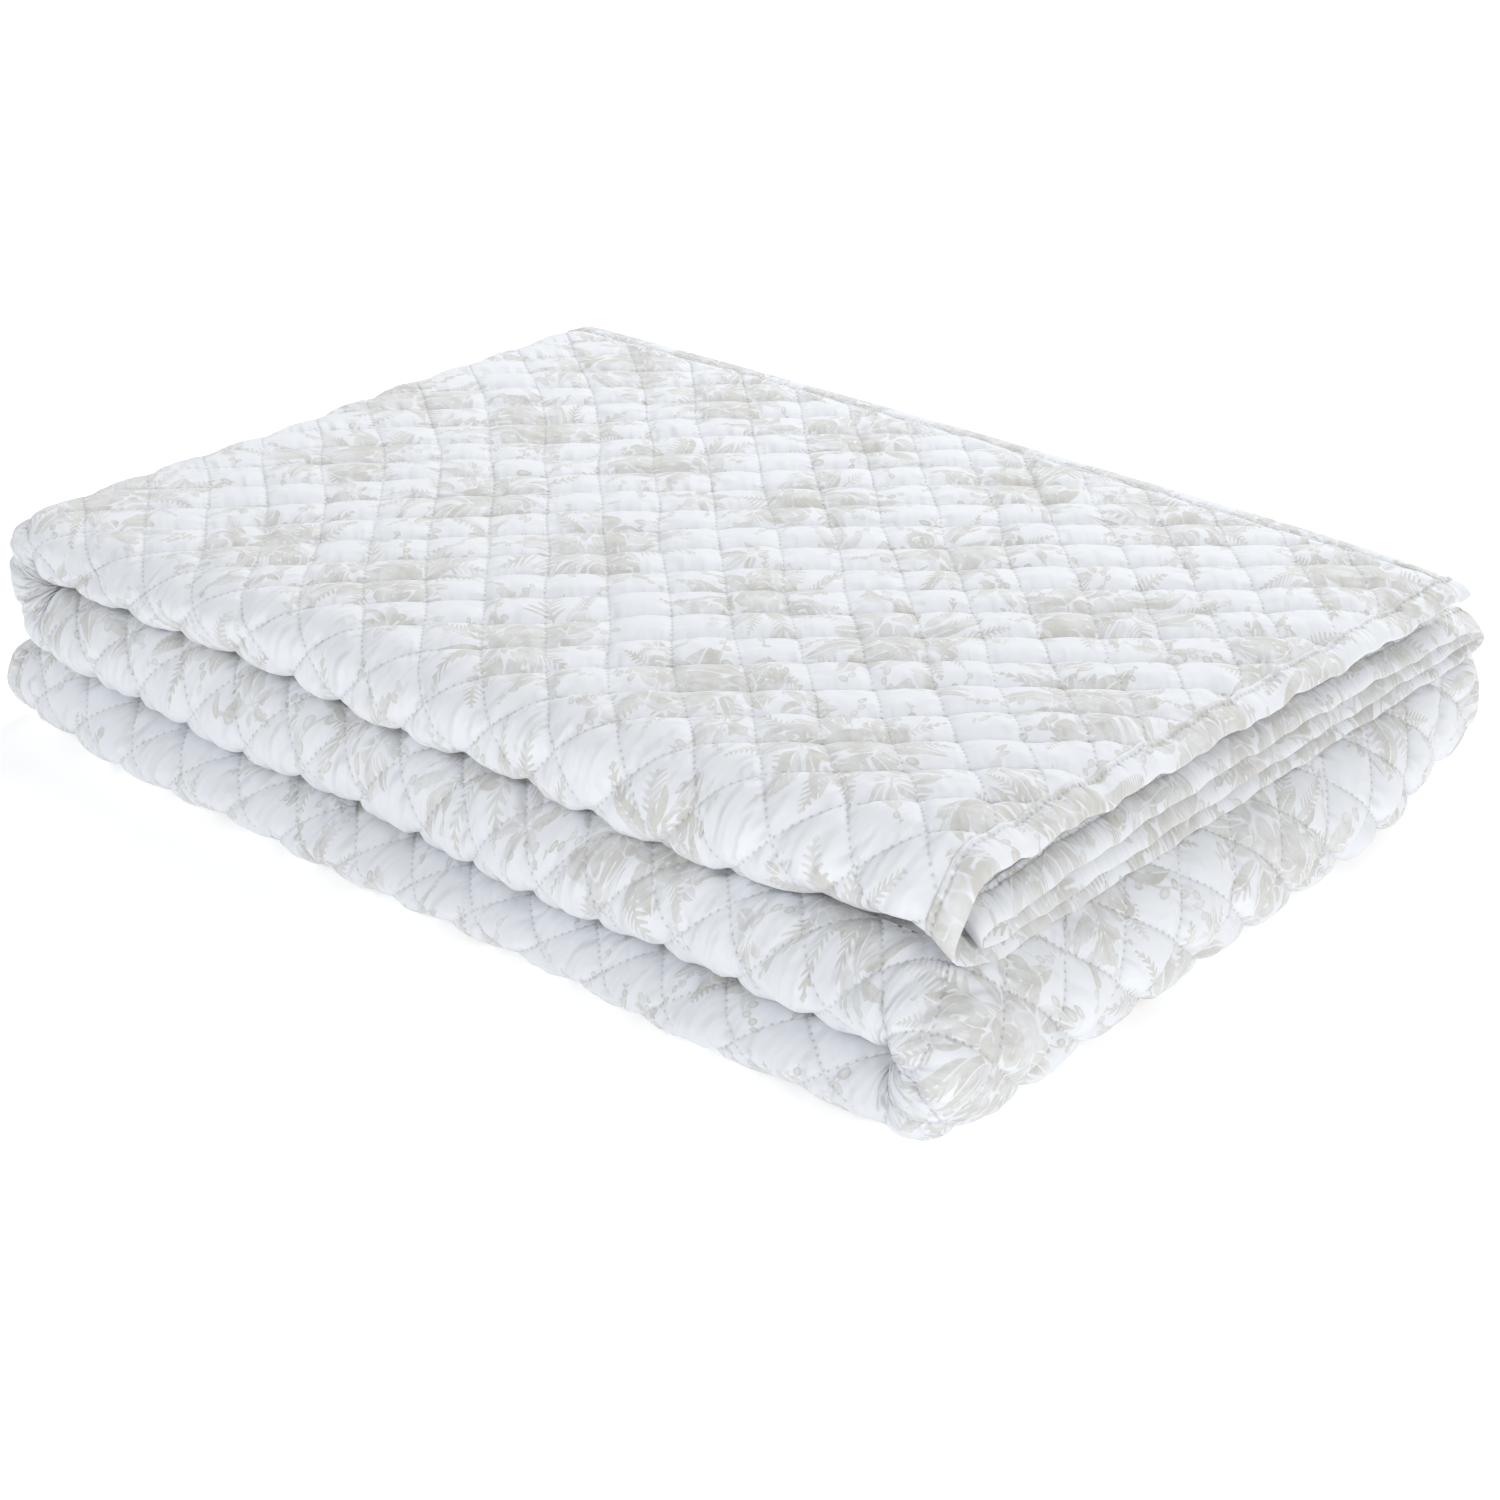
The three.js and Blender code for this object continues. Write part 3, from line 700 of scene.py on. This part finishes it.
def makeStitches(name, lines, tree, ids, paint):
    # lines are lists of points and of the way the cloth faces there
    starts = np.cumsum([0] + [len(points) for points, _ in lines])
    edges = [(i, i + 1) for a, b in zip(starts, starts[1:]) for i in range(a, b - 1)]
    guide = bpy.data.meshes.new(name + "Guide")
    guide.from_pydata(np.concatenate([points for points, _ in lines]).tolist(), edges, [])
    attribute = guide.attributes.new("facing", "FLOAT_VECTOR", "POINT")
    facing = np.concatenate([facing for _, facing in lines])
    attribute.data.foreach_set("vector", facing.astype(np.float32).ravel())
    carrier = intoScene(name + "Guide", guide)
    modifier = carrier.modifiers.new("layStitches", "NODES")
    modifier.node_group = tree
    size = (stitch["length"], stitch["width"], stitch["height"])
    for label, value in {"Spacing": stitch["spacing"], "Size": size, "Scatter": stitch["scatter"],
                         "Seed": stitch["seed"], "Thread": paint}.items():
        modifier[ids[label]] = value
    bpy.context.view_layer.update()
    mesh = bpy.data.meshes.new_from_object(carrier.evaluated_get(bpy.context.evaluated_depsgraph_get()))
    bpy.data.objects.remove(carrier)
    mesh.name = name
    print(name, len(mesh.polygons), "faces")
    return intoScene(name, mesh)


def quiltStitchLines():
    outerFace = lambda along, row: clothPoints(along, row, 1)
    made = {"top": [], "sides": []}
    for along, row in quiltingLines():
        facing = faceDirection(outerFace, along, row)
        points = outerFace(along, row) + facing * seam["lift"] / 1000
        middle = len(along) // 2
        onTop = (along[middle] < rollMiddle - seam["topUntil"]) and (row[middle] < leftFold[0])
        made["top" if onTop else "sides"].append((points, facing))
    return made


def bindingStitchLines():
    # one line on each face of each strip, a little way in from its inner edge
    lines = []
    for isEnd, isFirst in ((True, True), (True, False), (False, True), (False, False)):
        fixed = -seam["bindingInset"] if isFirst else (rowTotal if isEnd else stripTotal) + seam["bindingInset"]
        run = np.arange(0, stripTotal if isEnd else rowTotal, seam["bindingStep"])
        held = np.full(len(run), fixed)
        along, row = (run, held) if isEnd else (held, run)
        for side in (1, -1):
            surface = lambda a, r: foldedPoints(a, r, side * seam["bindingHalf"])
            facing = faceDirection(surface, along, row) * side
            lines.append((surface(along, row) + facing * seam["bindingLift"] / 1000, facing))
    return lines


threadPaint = bpy.data.materials.new("sewing_thread")
stitchTree, stitchIds = makeStitchTree()
stitchLines = quiltStitchLines()
stitchPieces = {name: makeStitches(name, lines, stitchTree, stitchIds, threadPaint) for name, lines in (
    ("quilting_stitches_top", stitchLines["top"]), ("quilting_stitches_sides", stitchLines["sides"]),
    ("binding_stitches", bindingStitchLines()))}


# The cloth's finish. Lengths on the flat cloth are in millimetres.
finish = {
    "clothColor": (0.797, 0.815, 0.848),
    "inkColor": (0.59, 0.578, 0.545),
    "inkStrength": 0.92,
    "threadColor": (0.83, 0.835, 0.84),
    "threadShade": 0.93,
    "threadTwist": 0.0001,
    "threadRoughness": 0.55,
    "threadSheen": 0.2,
    # painted shade in the needle holes and along the binding's topstitching: its cool tint and how dark it is
    "holeShadeTint": (0.97, 0.985, 1.0),
    "holeShade": 0.77,
    "roughness": 0.82,
    "sheen": 0.25,
    "sheenRoughness": 0.5,
    "shine": 0.25,
    "wrinkleHeight": 1.0,
}
# A generic flower print: bouquets in half-drop repeat, with small sprigs between them
flowerPrint = {
    "bouquetCell": (138.0, 124.0),
    "bouquetSquash": (0.92, 1.1),
    "sprigCell": (69.0, 62.0),
    "sprigDrop": 20.0,
    "sprigClear": (50.0, 56.0),  # no sprig starts nearer to a bouquet's middle
    "sway": (0.022, 26.0),  # how often and how far the rows of bouquets stray
    # which kind, how many stalks, where they start, their length, width and own number
    "sprays": (("tip", 13.0, 34.0, 32.0, 7.6, 2.0), ("leaf", 11.0, 24.0, 29.0, 6.4, 3.0),
               ("leaf", 8.0, 14.0, 24.0, 6.4, 9.0)),
    "sprig": {"Count": 6.0, "Start": 3.0, "Length": 23.0, "Width": 5.0},
    # place and radius of each flower in a bouquet, and its turn: the last one lies over the others
    "flowers": ((28, 15, 17, 0.4), (-27, 13, 16, 2.0), (5, -28, 16, 4.0), (0, 2, 23, 1.0)),
    "berryStep": 6.4,
    "bend": 11.0,
    "grain": (0.06, 1.7, -0.05),  # how often the ink thins, and by how much
}
# Relief, as heights in millimetres
relief = {
    "puckerHeight": 4.4,
    "puckerReach": (17.0, 2.0),
    "puckerStretch": (0.105, 0.022),
    "grooveReach": (1.6, 0.2),
    "grooveDepth": 0.45,
    "creaseHeight": 1.0,
    "rollCreaseHeight": 3.2,
    "rollCreaseReach": (95.0, 40.0),
    "needleStep": 4.6,
    "needleLength": (0.24, 0.1),
    "needleWidth": (0.95, 0.45),
    "weaveSize": 0.55,
    "weaveHeight": 0.012,
    "stripSpacing": 60.0,  # every binding strip was cut a whole number of these apart
    "stripPucker": 3.2,
    "stripGroove": 0.4,
    # how dark the painted shadow along the binding's topstitching is
    "stripShade": 0.15,
}


class Value:
    # a number that changes over the cloth, so that sums on shader nodes read as usual
    def __init__(self, tree, socket):
        self.tree, self.socket = tree, socket

    def made(self, operation, *others):
        return nodeSum(self.tree, operation, self, *others)

    def __rsub__(self, first):
        return nodeSum(self.tree, "SUBTRACT", first, self)

    def step(self, low, high):
        # rises evenly from 0 at low to 1 at high, or falls where high is the lower one
        ends = (low, high, 0, 1) if high > low else (high, low, 1, 0)
        places = dict(zip(("From Min", "From Max", "To Min", "To Max"), ends))
        ramp = addNode(self.tree, "ShaderNodeMapRange", {**places, "Value": self})
        return Value(self.tree, ramp.outputs["Result"])


def addOperation(name, operation):
    setattr(Value, name, lambda self, *others: self.made(operation, *others))


for name, operation in {
        "__add__": "ADD", "__radd__": "ADD", "__sub__": "SUBTRACT", "__mul__": "MULTIPLY", "__rmul__": "MULTIPLY",
        "__truediv__": "DIVIDE", "__pow__": "POWER", "__lt__": "LESS_THAN", "__gt__": "GREATER_THAN",
        "__abs__": "ABSOLUTE", "fraction": "FRACT", "floor": "FLOOR", "sine": "SINE", "cosine": "COSINE",
        "above": "MAXIMUM", "below": "MINIMUM"}.items():
    addOperation(name, operation)


def nodeSum(tree, operation, *values):
    return Value(tree, addNode(tree, "ShaderNodeMath", dict(enumerate(values)), operation=operation).outputs[0])


def newGroup(name, inputs, outputs):
    # inputs are numbers with a starting value, or points, which have none
    tree = bpy.data.node_groups.new(name, "ShaderNodeTree")
    for label, value in inputs.items():
        kind = "NodeSocketVector" if value is None else "NodeSocketFloat"
        socket = tree.interface.new_socket(name=label, in_out="INPUT", socket_type=kind)
        if value is not None:
            socket.default_value = value
    for label in outputs:
        tree.interface.new_socket(name=label, in_out="OUTPUT", socket_type="NodeSocketFloat")
    return tree, addNode(tree, "NodeGroupInput").outputs


def placeGroup(tree, group, **values):
    return addNode(tree, "ShaderNodeGroup", values, node_tree=group)


def splitPoint(tree, socket):
    return [Value(tree, part) for part in addNode(tree, "ShaderNodeSeparateXYZ", {0: socket}).outputs]


def joinPoint(tree, *values):
    return addNode(tree, "ShaderNodeCombineXYZ", dict(enumerate(values))).outputs[0]


def pointMath(tree, operation, first, second):
    other = "Scale" if operation == "SCALE" else 1
    return addNode(tree, "ShaderNodeVectorMath", {0: first, other: second}, operation=operation).outputs[0]


def colorParts(tree, socket):
    return [Value(tree, part) for part in addNode(tree, "ShaderNodeSeparateColor", {0: socket}).outputs]


def randomAt(tree, socket):
    noise = addNode(tree, "ShaderNodeTexWhiteNoise", {"Vector": socket}, noise_dimensions="3D")
    return colorParts(tree, noise.outputs["Color"])


def noiseAt(tree, socket, scale, detail=1.0, dimensions="2D"):
    return addNode(tree, "ShaderNodeTexNoise", {"Vector": socket, "Scale": scale, "Detail": detail},
                   noise_dimensions=dimensions)


def noiseValue(tree, socket, *settings):
    return Value(tree, noiseAt(tree, socket, *settings).outputs[0])


def makeRoseGroup():
    # a full-blown flower, one unit in radius: loose petals in rings, smaller towards its heart
    tree, given = newGroup("roseHead", {"Point": None}, ("Ink", "Cover"))
    x, y, turn = splitPoint(tree, given["Point"])
    radius = (x * x + y * y) ** 0.5
    angle = y.made("ARCTAN2", x)
    lobes = (angle * 3 + turn).sine()
    place = joinPoint(tree, angle * (7 / (2 * math.pi)) + turn * 5, radius * 3.4 + lobes * 0.35, 0)
    petals = addNode(tree, "ShaderNodeTexVoronoi", {"Vector": place, "Scale": 1.0, "Randomness": 0.75},
                     voronoi_dimensions="2D")
    away, tint = Value(tree, petals.outputs["Distance"]), colorParts(tree, petals.outputs["Color"])[0]
    hatch = (angle * 31 + away * 4).sine() * 0.12 * away
    tone = (tint * 0.5 + 0.45 + away * 0.5 + hatch) * away.step(0.66, 0.5)
    rim = radius - abs(lobes) ** 0.6 * 0.16
    addNode(tree, "NodeGroupOutput", {"Ink": tone * rim.step(0.86, 0.8), "Cover": rim.step(0.9, 0.86)})
    return tree


def makeSprayGroup(name, drawStalk):
    # a ring of stalks, each drawn from the place along and beside it
    tree, given = newGroup(name, {"Angle": 0.0, "Radius": 0.0, "Count": 7.0, "Start": 20.0, "Length": 34.0,
                                  "Width": 8.0, "Seed": 0.0}, ("Ink",))
    angle, radius, count, start, length, width, seed = (Value(tree, given[label]) for label in (
        "Angle", "Radius", "Count", "Start", "Length", "Width", "Seed"))
    turns = angle * count / (2 * math.pi)
    sector = turns.floor()
    one, two, three = randomAt(tree, joinPoint(tree, sector, seed, count))
    aside = (turns - sector - 0.35 - one * 0.3) / count * (2 * math.pi)
    run, across = radius * aside.cosine(), radius * aside.sine()
    share = (run - start) / (length * (0.7 + 0.6 * two))
    bent = across - (three - 0.5) * share * share * flowerPrint["bend"]
    addNode(tree, "NodeGroupOutput", {"Ink": drawStalk(run, bent, share, width, (one, two, three))})
    return tree


def leafShape(run, across, share, width):
    size = abs(across)
    body = (share * (1 - share)).above(0) ** 0.7 * (3.1 - share * 1.2)
    vein = ((run - size * 0.8) / 3.4).fraction()
    tone = 0.5 + (across > 0) * 0.28 + vein * 0.3
    return tone * size.step(0.25, 0.6) * (width * body - vein * 0.5 - size).step(0.0, 0.4)


def berryShape(run, across, share, width, fruit):
    # fruit by turns on either side of a stalk
    place = run / flowerPrint["berryStep"]
    index = place.floor()
    side = (index * 0.5).fraction() * 4 - 1
    offAcross = across - side * width * (1.1 - share)
    offRun = (place - index - 0.5) * flowerPrint["berryStep"]
    distance = (offAcross * offAcross + offRun * offRun) ** 0.5
    berry = distance.step(fruit, fruit - 0.35) * (0.5 + distance.step(1.0, 1.9) * 0.5) * (share > 0)
    return berry.above(abs(across).step(0.7, 0.35) * 0.7) * (share > -0.4) * (share < 1)


def drawLeaf(run, across, share, width, draws):
    return leafShape(run, across, share, width) * (draws[2] > 0.1)


def drawTip(run, across, share, width, draws):
    # round the bouquet each stalk is a fern frond or a spray of berries
    size = abs(across)
    reach = width * (1 - share).above(0) ** 0.55 * share.step(0.0, 0.12)
    leaflet = ((run - size * 0.75) / 4.1).fraction()
    blade = (0.4 - size / reach.above(0.5) * 0.22 - abs(leaflet - 0.5)).step(0.0, 0.08) * (size < reach)
    frond = blade.above(size.step(0.75, 0.4) * (share > -0.3) * (share < 1)) * 0.85
    berries = berryShape(run, across, share, width * 0.42, 2.8)
    isFrond = draws[0] > 0.45
    return frond * isFrond + berries * (1 - isFrond)


def drawSprig(run, across, share, width, draws):
    # a small sprig between the bouquets: leaves below and berries above
    leaves = leafShape(run, across, share * 1.5, width * 0.8)
    return leaves.above(berryShape(run, across, share, width * 0.7, 2.3) * (draws[1] > 0.35))


def cellPoint(tree, u, v, cell, seed):
    # half-drop cells: the point from the cell's own middle, its random turn and its own number
    column = (u / cell[0]).floor()
    drop = v / cell[1] + (column * 0.5).fraction()
    row = drop.floor()
    one, two, three = randomAt(tree, joinPoint(tree, column, row, seed))
    x = u - (column + 0.4 + two * 0.2) * cell[0]
    y = (drop - row - 0.4 - three * 0.2) * cell[1]
    return x, y, one * (2 * math.pi), one * 37 + two * 11


def polar(x, y, turn):
    return {"Angle": y.made("ARCTAN2", x) + turn, "Radius": (x * x + y * y) ** 0.5}


def flowerAt(tree, x, y, turn):
    # the point in the flower that lies on top here, with the flower's own turn as its height
    turned = addNode(tree, "ShaderNodeVectorRotate", {"Vector": joinPoint(tree, x, y, 0), "Angle": turn},
                     rotation_type="Z_AXIS")
    chosen = None
    for placeX, placeY, size, ownTurn in flowerPrint["flowers"]:
        moved = pointMath(tree, "SUBTRACT", turned.outputs[0], (placeX, placeY, -ownTurn * size))
        point = pointMath(tree, "SCALE", moved, 1 / size)
        if chosen is None:
            chosen = point
            continue
        flatPoint = pointMath(tree, "MULTIPLY", point, (1, 1, 0))
        distance = addNode(tree, "ShaderNodeVectorMath", {0: flatPoint}, operation="LENGTH").outputs["Value"]
        chosen = addNode(tree, "ShaderNodeMix", {"Factor": Value(tree, distance) < 0.98, "A": chosen, "B": point},
                         data_type="VECTOR").outputs["Result"]
    return chosen


def makePrintGroup():
    tree, given = newGroup("flowerPrint", {"Plan": None}, ("Ink",))
    sprays = {"leaf": makeSprayGroup("leafSpray", drawLeaf), "tip": makeSprayGroup("tipSpray", drawTip)}
    often, far = flowerPrint["sway"]
    sway = noiseAt(tree, given["Plan"], often, 0.0).outputs["Color"]
    u, v, _ = splitPoint(tree, pointMath(tree, "ADD", given["Plan"], pointMath(tree, "SCALE", sway, far)))
    x, y, turn, seed = cellPoint(tree, u, v, flowerPrint["bouquetCell"], 1.0)
    squashX, squashY = flowerPrint["bouquetSquash"]
    place = polar(x * squashX, y * squashY, turn)
    ink = None
    for kind, count, start, length, width, own in flowerPrint["sprays"]:
        made = placeGroup(tree, sprays[kind], Angle=place["Angle"] + own, Radius=place["Radius"], Count=count,
                          Start=start, Length=length, Width=width, Seed=seed + own)
        layer = Value(tree, made.outputs["Ink"])
        ink = layer if ink is None else ink.above(layer)
    flower = placeGroup(tree, makeRoseGroup(), Point=flowerAt(tree, x, y, turn))
    ink = ink * (1 - Value(tree, flower.outputs["Cover"])) + Value(tree, flower.outputs["Ink"])
    halfCell = flowerPrint["bouquetCell"][0] * 0.5
    x, y, turn, seed = cellPoint(tree, u + halfCell, v + flowerPrint["sprigDrop"], flowerPrint["sprigCell"], 4.0)
    made = placeGroup(tree, makeSprayGroup("smallSprig", drawSprig), **polar(x, y, turn), **flowerPrint["sprig"],
                      Seed=seed)
    ink = ink.above(Value(tree, made.outputs["Ink"]) * place["Radius"].step(*flowerPrint["sprigClear"]))
    often, most, least = flowerPrint["grain"]
    ink = ink * (noiseValue(tree, given["Plan"], often, 3.0) * most + least)
    addNode(tree, "NodeGroupOutput", {"Ink": ink.below(1)})
    return tree


def weaveHeight(u, v):
    turn = 2 * math.pi / relief["weaveSize"]
    return ((u * turn).sine() + (v * turn).sine()) * relief["weaveHeight"]


# where shade is painted in each needle hole along a stitch line
def needleHoleShade(run, away):
    holes = abs((run / relief["needleStep"]).fraction() - 0.5)
    return holes.step(*relief["needleLength"]) * away.step(*relief["needleWidth"])


def makeReliefGroup():
    # fine puckers beside the stitch lines, soft creases and the weave, with painted shade in the needle holes along
    # the stitch lines
    tree, given = newGroup("clothRelief", {"Plan": None}, ("Height", "Shade"))
    u, v, _ = splitPoint(tree, given["Plan"])
    pitch, root = fold["stitchPitch"], math.sqrt(2)
    alongRun, alongAway = relief["puckerStretch"]
    heights, shades = [], []
    for sign in (1, -1):
        over = (u + v * sign - fold["firstRow"] * sign) / (root * pitch)
        run = (u - v * sign) / root
        line = (over + 0.5).floor()
        away = abs(over - line) * pitch
        place = joinPoint(tree, run * alongRun, away * alongAway, line * 3.7 + sign)
        ripple = noiseValue(tree, place, 1.0, 1.0, "3D") - 0.5
        heights.append(away.step(*relief["puckerReach"]) * ripple * relief["puckerHeight"]
                       - away.step(*relief["grooveReach"]) * relief["grooveDepth"])
        shades.append(needleHoleShade(run, away))
    onRoll = abs(u - rollMiddle).step(*relief["rollCreaseReach"])
    crumple = noiseValue(tree, joinPoint(tree, u * 0.024 + v * 0.012, v * 0.1 - u * 0.02, 0), 1.0, 1.0)
    creases = crumple * (onRoll * relief["rollCreaseHeight"] + relief["creaseHeight"])
    addNode(tree, "NodeGroupOutput", {"Height": heights[0] + heights[1] + creases + weaveHeight(u, v),
                                      "Shade": shades[0].above(shades[1])})
    return tree


def makeBindingReliefGroup():
    # short ripples across the strip, drawn in by its row of topstitching, and the weave, with a painted shadow along
    # the topstitching's groove and painted shade in its needle holes
    tree, given = newGroup("bindingRelief", {"Plan": None}, ("Height", "Shade"))
    u, v, _ = splitPoint(tree, given["Plan"])
    away = abs((u / relief["stripSpacing"]).fraction() * relief["stripSpacing"] - seam["bindingInset"])
    ripple = noiseValue(tree, joinPoint(tree, v * 0.16, u * 0.03, 0), 1.0, 1.0) - 0.5
    puckers = (0.25 + away.step(9, 1)) * ripple * relief["stripPucker"]
    addNode(tree, "NodeGroupOutput", {
        "Height": puckers - away.step(1.2, 0.2) * relief["stripGroove"] + weaveHeight(u, v),
        "Shade": needleHoleShade(v, away).above(away.step(1.2, 0.3) * relief["stripShade"])})
    return tree


def mixColors(tree, factor, first, second, **settings):
    values = {"Factor": factor, "A": first, "B": second}
    return addNode(tree, "ShaderNodeMix", values, data_type="RGBA", **settings).outputs["Result"]


def joinShader(paint, color, height, distance, settings):
    # joins a colour and a bump to a material's own shader, and sets what is the same all over
    tree = paint.node_tree
    bump = addNode(tree, "ShaderNodeBump", {"Strength": 1.0, "Distance": distance, "Height": height})
    for label, value in {"Base Color": color, "Normal": bump.outputs["Normal"], **settings}.items():
        feed(tree, tree.nodes["Principled BSDF"].inputs[label], value)


def makeCloth(name, printGroup, reliefGroup):
    paint = bpy.data.materials.new(name)
    paint.use_nodes = True
    tree = paint.node_tree
    plan = addNode(tree, "ShaderNodeUVMap", uv_map="clothPlan")
    inMillimetres = pointMath(tree, "SCALE", plan.outputs["UV"], 1000.0)
    ink = Value(tree, placeGroup(tree, printGroup, Plan=inMillimetres).outputs["Ink"])
    folds = placeGroup(tree, reliefGroup, Plan=inMillimetres).outputs
    printed = mixColors(tree, ink * finish["inkStrength"], (*finish["clothColor"], 1), (*finish["inkColor"], 1))
    # painted shade in the needle holes, and on the binding along its topstitching, darkens the print
    paintedShadeColor = (*[finish["holeShade"] * tint for tint in finish["holeShadeTint"]], 1)
    color = mixColors(tree, folds["Shade"], printed, paintedShadeColor, blend_type="MULTIPLY")
    joinShader(paint, color, folds["Height"], finish["wrinkleHeight"] / 1000, {
        "Roughness": finish["roughness"], "Sheen Weight": finish["sheen"],
        "Sheen Roughness": finish["sheenRoughness"], "Specular IOR Level": finish["shine"]})
    return paint


def finishThread(paint):
    paint.use_nodes = True
    tree = paint.node_tree
    twist = noiseAt(tree, addNode(tree, "ShaderNodeTexCoord").outputs["Object"], 900.0, 1.0, "3D").outputs[0]
    dark = (*[part * finish["threadShade"] for part in finish["threadColor"]], 1)
    color = mixColors(tree, twist, dark, (*finish["threadColor"], 1))
    joinShader(paint, color, twist, finish["threadTwist"], {
        "Roughness": finish["threadRoughness"], "Sheen Weight": finish["threadSheen"]})


printGroup = makePrintGroup()
quiltPaint = makeCloth("quilted_print", printGroup, makeReliefGroup())
bindingPaint = makeCloth("binding_print", printGroup, makeBindingReliefGroup())
finishThread(threadPaint)
quiltObject.data.materials.append(quiltPaint)
for piece in bindings.values():
    piece.data.materials.append(bindingPaint)
print("materials made")


# Camera at the photograph's angle
view = {
    "place": (1.206195, -1.371383, 0.925200),
    "azimuth": 40.97,
    "elevation": 26.99,
    "lens": 72.81,
}


def makeCamera():
    data = bpy.data.cameras.new("photoCamera")
    data.lens = view["lens"]
    data.sensor_width = 36
    data.clip_start, data.clip_end = 0.05, 60
    camera = intoScene("photoCamera", data)
    azimuth, elevation = math.radians(view["azimuth"]), math.radians(view["elevation"])
    look = Vector((-math.sin(azimuth) * math.cos(elevation), math.cos(azimuth) * math.cos(elevation),
                   -math.sin(elevation)))
    camera.location = view["place"]
    camera.rotation_mode = "QUATERNION"
    camera.rotation_quaternion = look.to_track_quat("-Z", "Y")
    bpy.context.scene.camera = camera


# A pale floor and soft light
studio = {
    "floorColor": (0.93, 0.93, 0.93),
    "floorGlow": 0.3,
    "floorReach": 12.0,
    "floorHeight": -0.0005,
    "aim": (0.0, 0.0, 0.08),
    "worldColor": (0.94, 0.97, 1.0),
    "worldStrength": 0.12,
    # name, place, width, power in watts, colour
    "lamps": [
        ("backOverhead", (-0.9, 1.5, 2.4), 1.8, 35.5, (1.0, 0.995, 0.985)),
        ("backLow", (0.0, 2.6, 1.5), 1.8, 47, (0.99, 0.995, 1.0)),
        ("rightSide", (2.6, -0.4, 1.3), 1.8, 35, (1.0, 0.995, 0.985)),
        ("frontFill", (0.4, -2.6, 1.4), 1.8, 33, (0.96, 0.98, 1.0)),
        ("leftSide", (-2.6, -0.9, 1.3), 1.8, 21, (0.97, 0.985, 1.0)),
    ],
}


def makeStudio():
    plane = bpy.data.meshes.new("floor")
    reach = studio["floorReach"]
    corners = [(x * reach, y * reach, studio["floorHeight"]) for x, y in ((-1, -1), (1, -1), (1, 1), (-1, 1))]
    plane.from_pydata(corners, [], [(0, 1, 2, 3)])
    floor = intoScene("floor", plane)
    paint = bpy.data.materials.new("paleFloor")
    paint.use_nodes = True
    shader = paint.node_tree.nodes["Principled BSDF"]
    shader.inputs["Base Color"].default_value = (*studio["floorColor"], 1)
    shader.inputs["Roughness"].default_value = 0.9
    shader.inputs["Emission Color"].default_value = (1, 1, 1, 1)
    shader.inputs["Emission Strength"].default_value = studio["floorGlow"]
    plane.materials.append(paint)
    world = bpy.data.worlds.new("softWorld")
    bpy.context.scene.world = world
    world.use_nodes = True
    background = world.node_tree.nodes["Background"]
    background.inputs["Color"].default_value = (*studio["worldColor"], 1)
    background.inputs["Strength"].default_value = studio["worldStrength"]
    for name, place, width, power, color in studio["lamps"]:
        light = bpy.data.lights.new(name, "AREA")
        light.shape, light.size, light.energy, light.color = "DISK", width, power, color
        lamp = intoScene(name, light)
        lamp.location = place
        lamp.rotation_mode = "QUATERNION"
        lamp.rotation_quaternion = (Vector(studio["aim"]) - Vector(place)).to_track_quat("-Z", "Y")
    bpy.context.scene.view_settings.view_transform = "Standard"


makeCamera()
makeStudio()
print("camera and studio made")


pieces = [(quiltObject, "quilted_cloth", "quilted_cloth")]
pieces += [(piece, node, "binding") for node, piece in bindings.items()]
for piece, node, slotName in pieces:
    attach(piece, "root")
    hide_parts(node)
for name, piece in stitchPieces.items():
    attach(piece, "root")
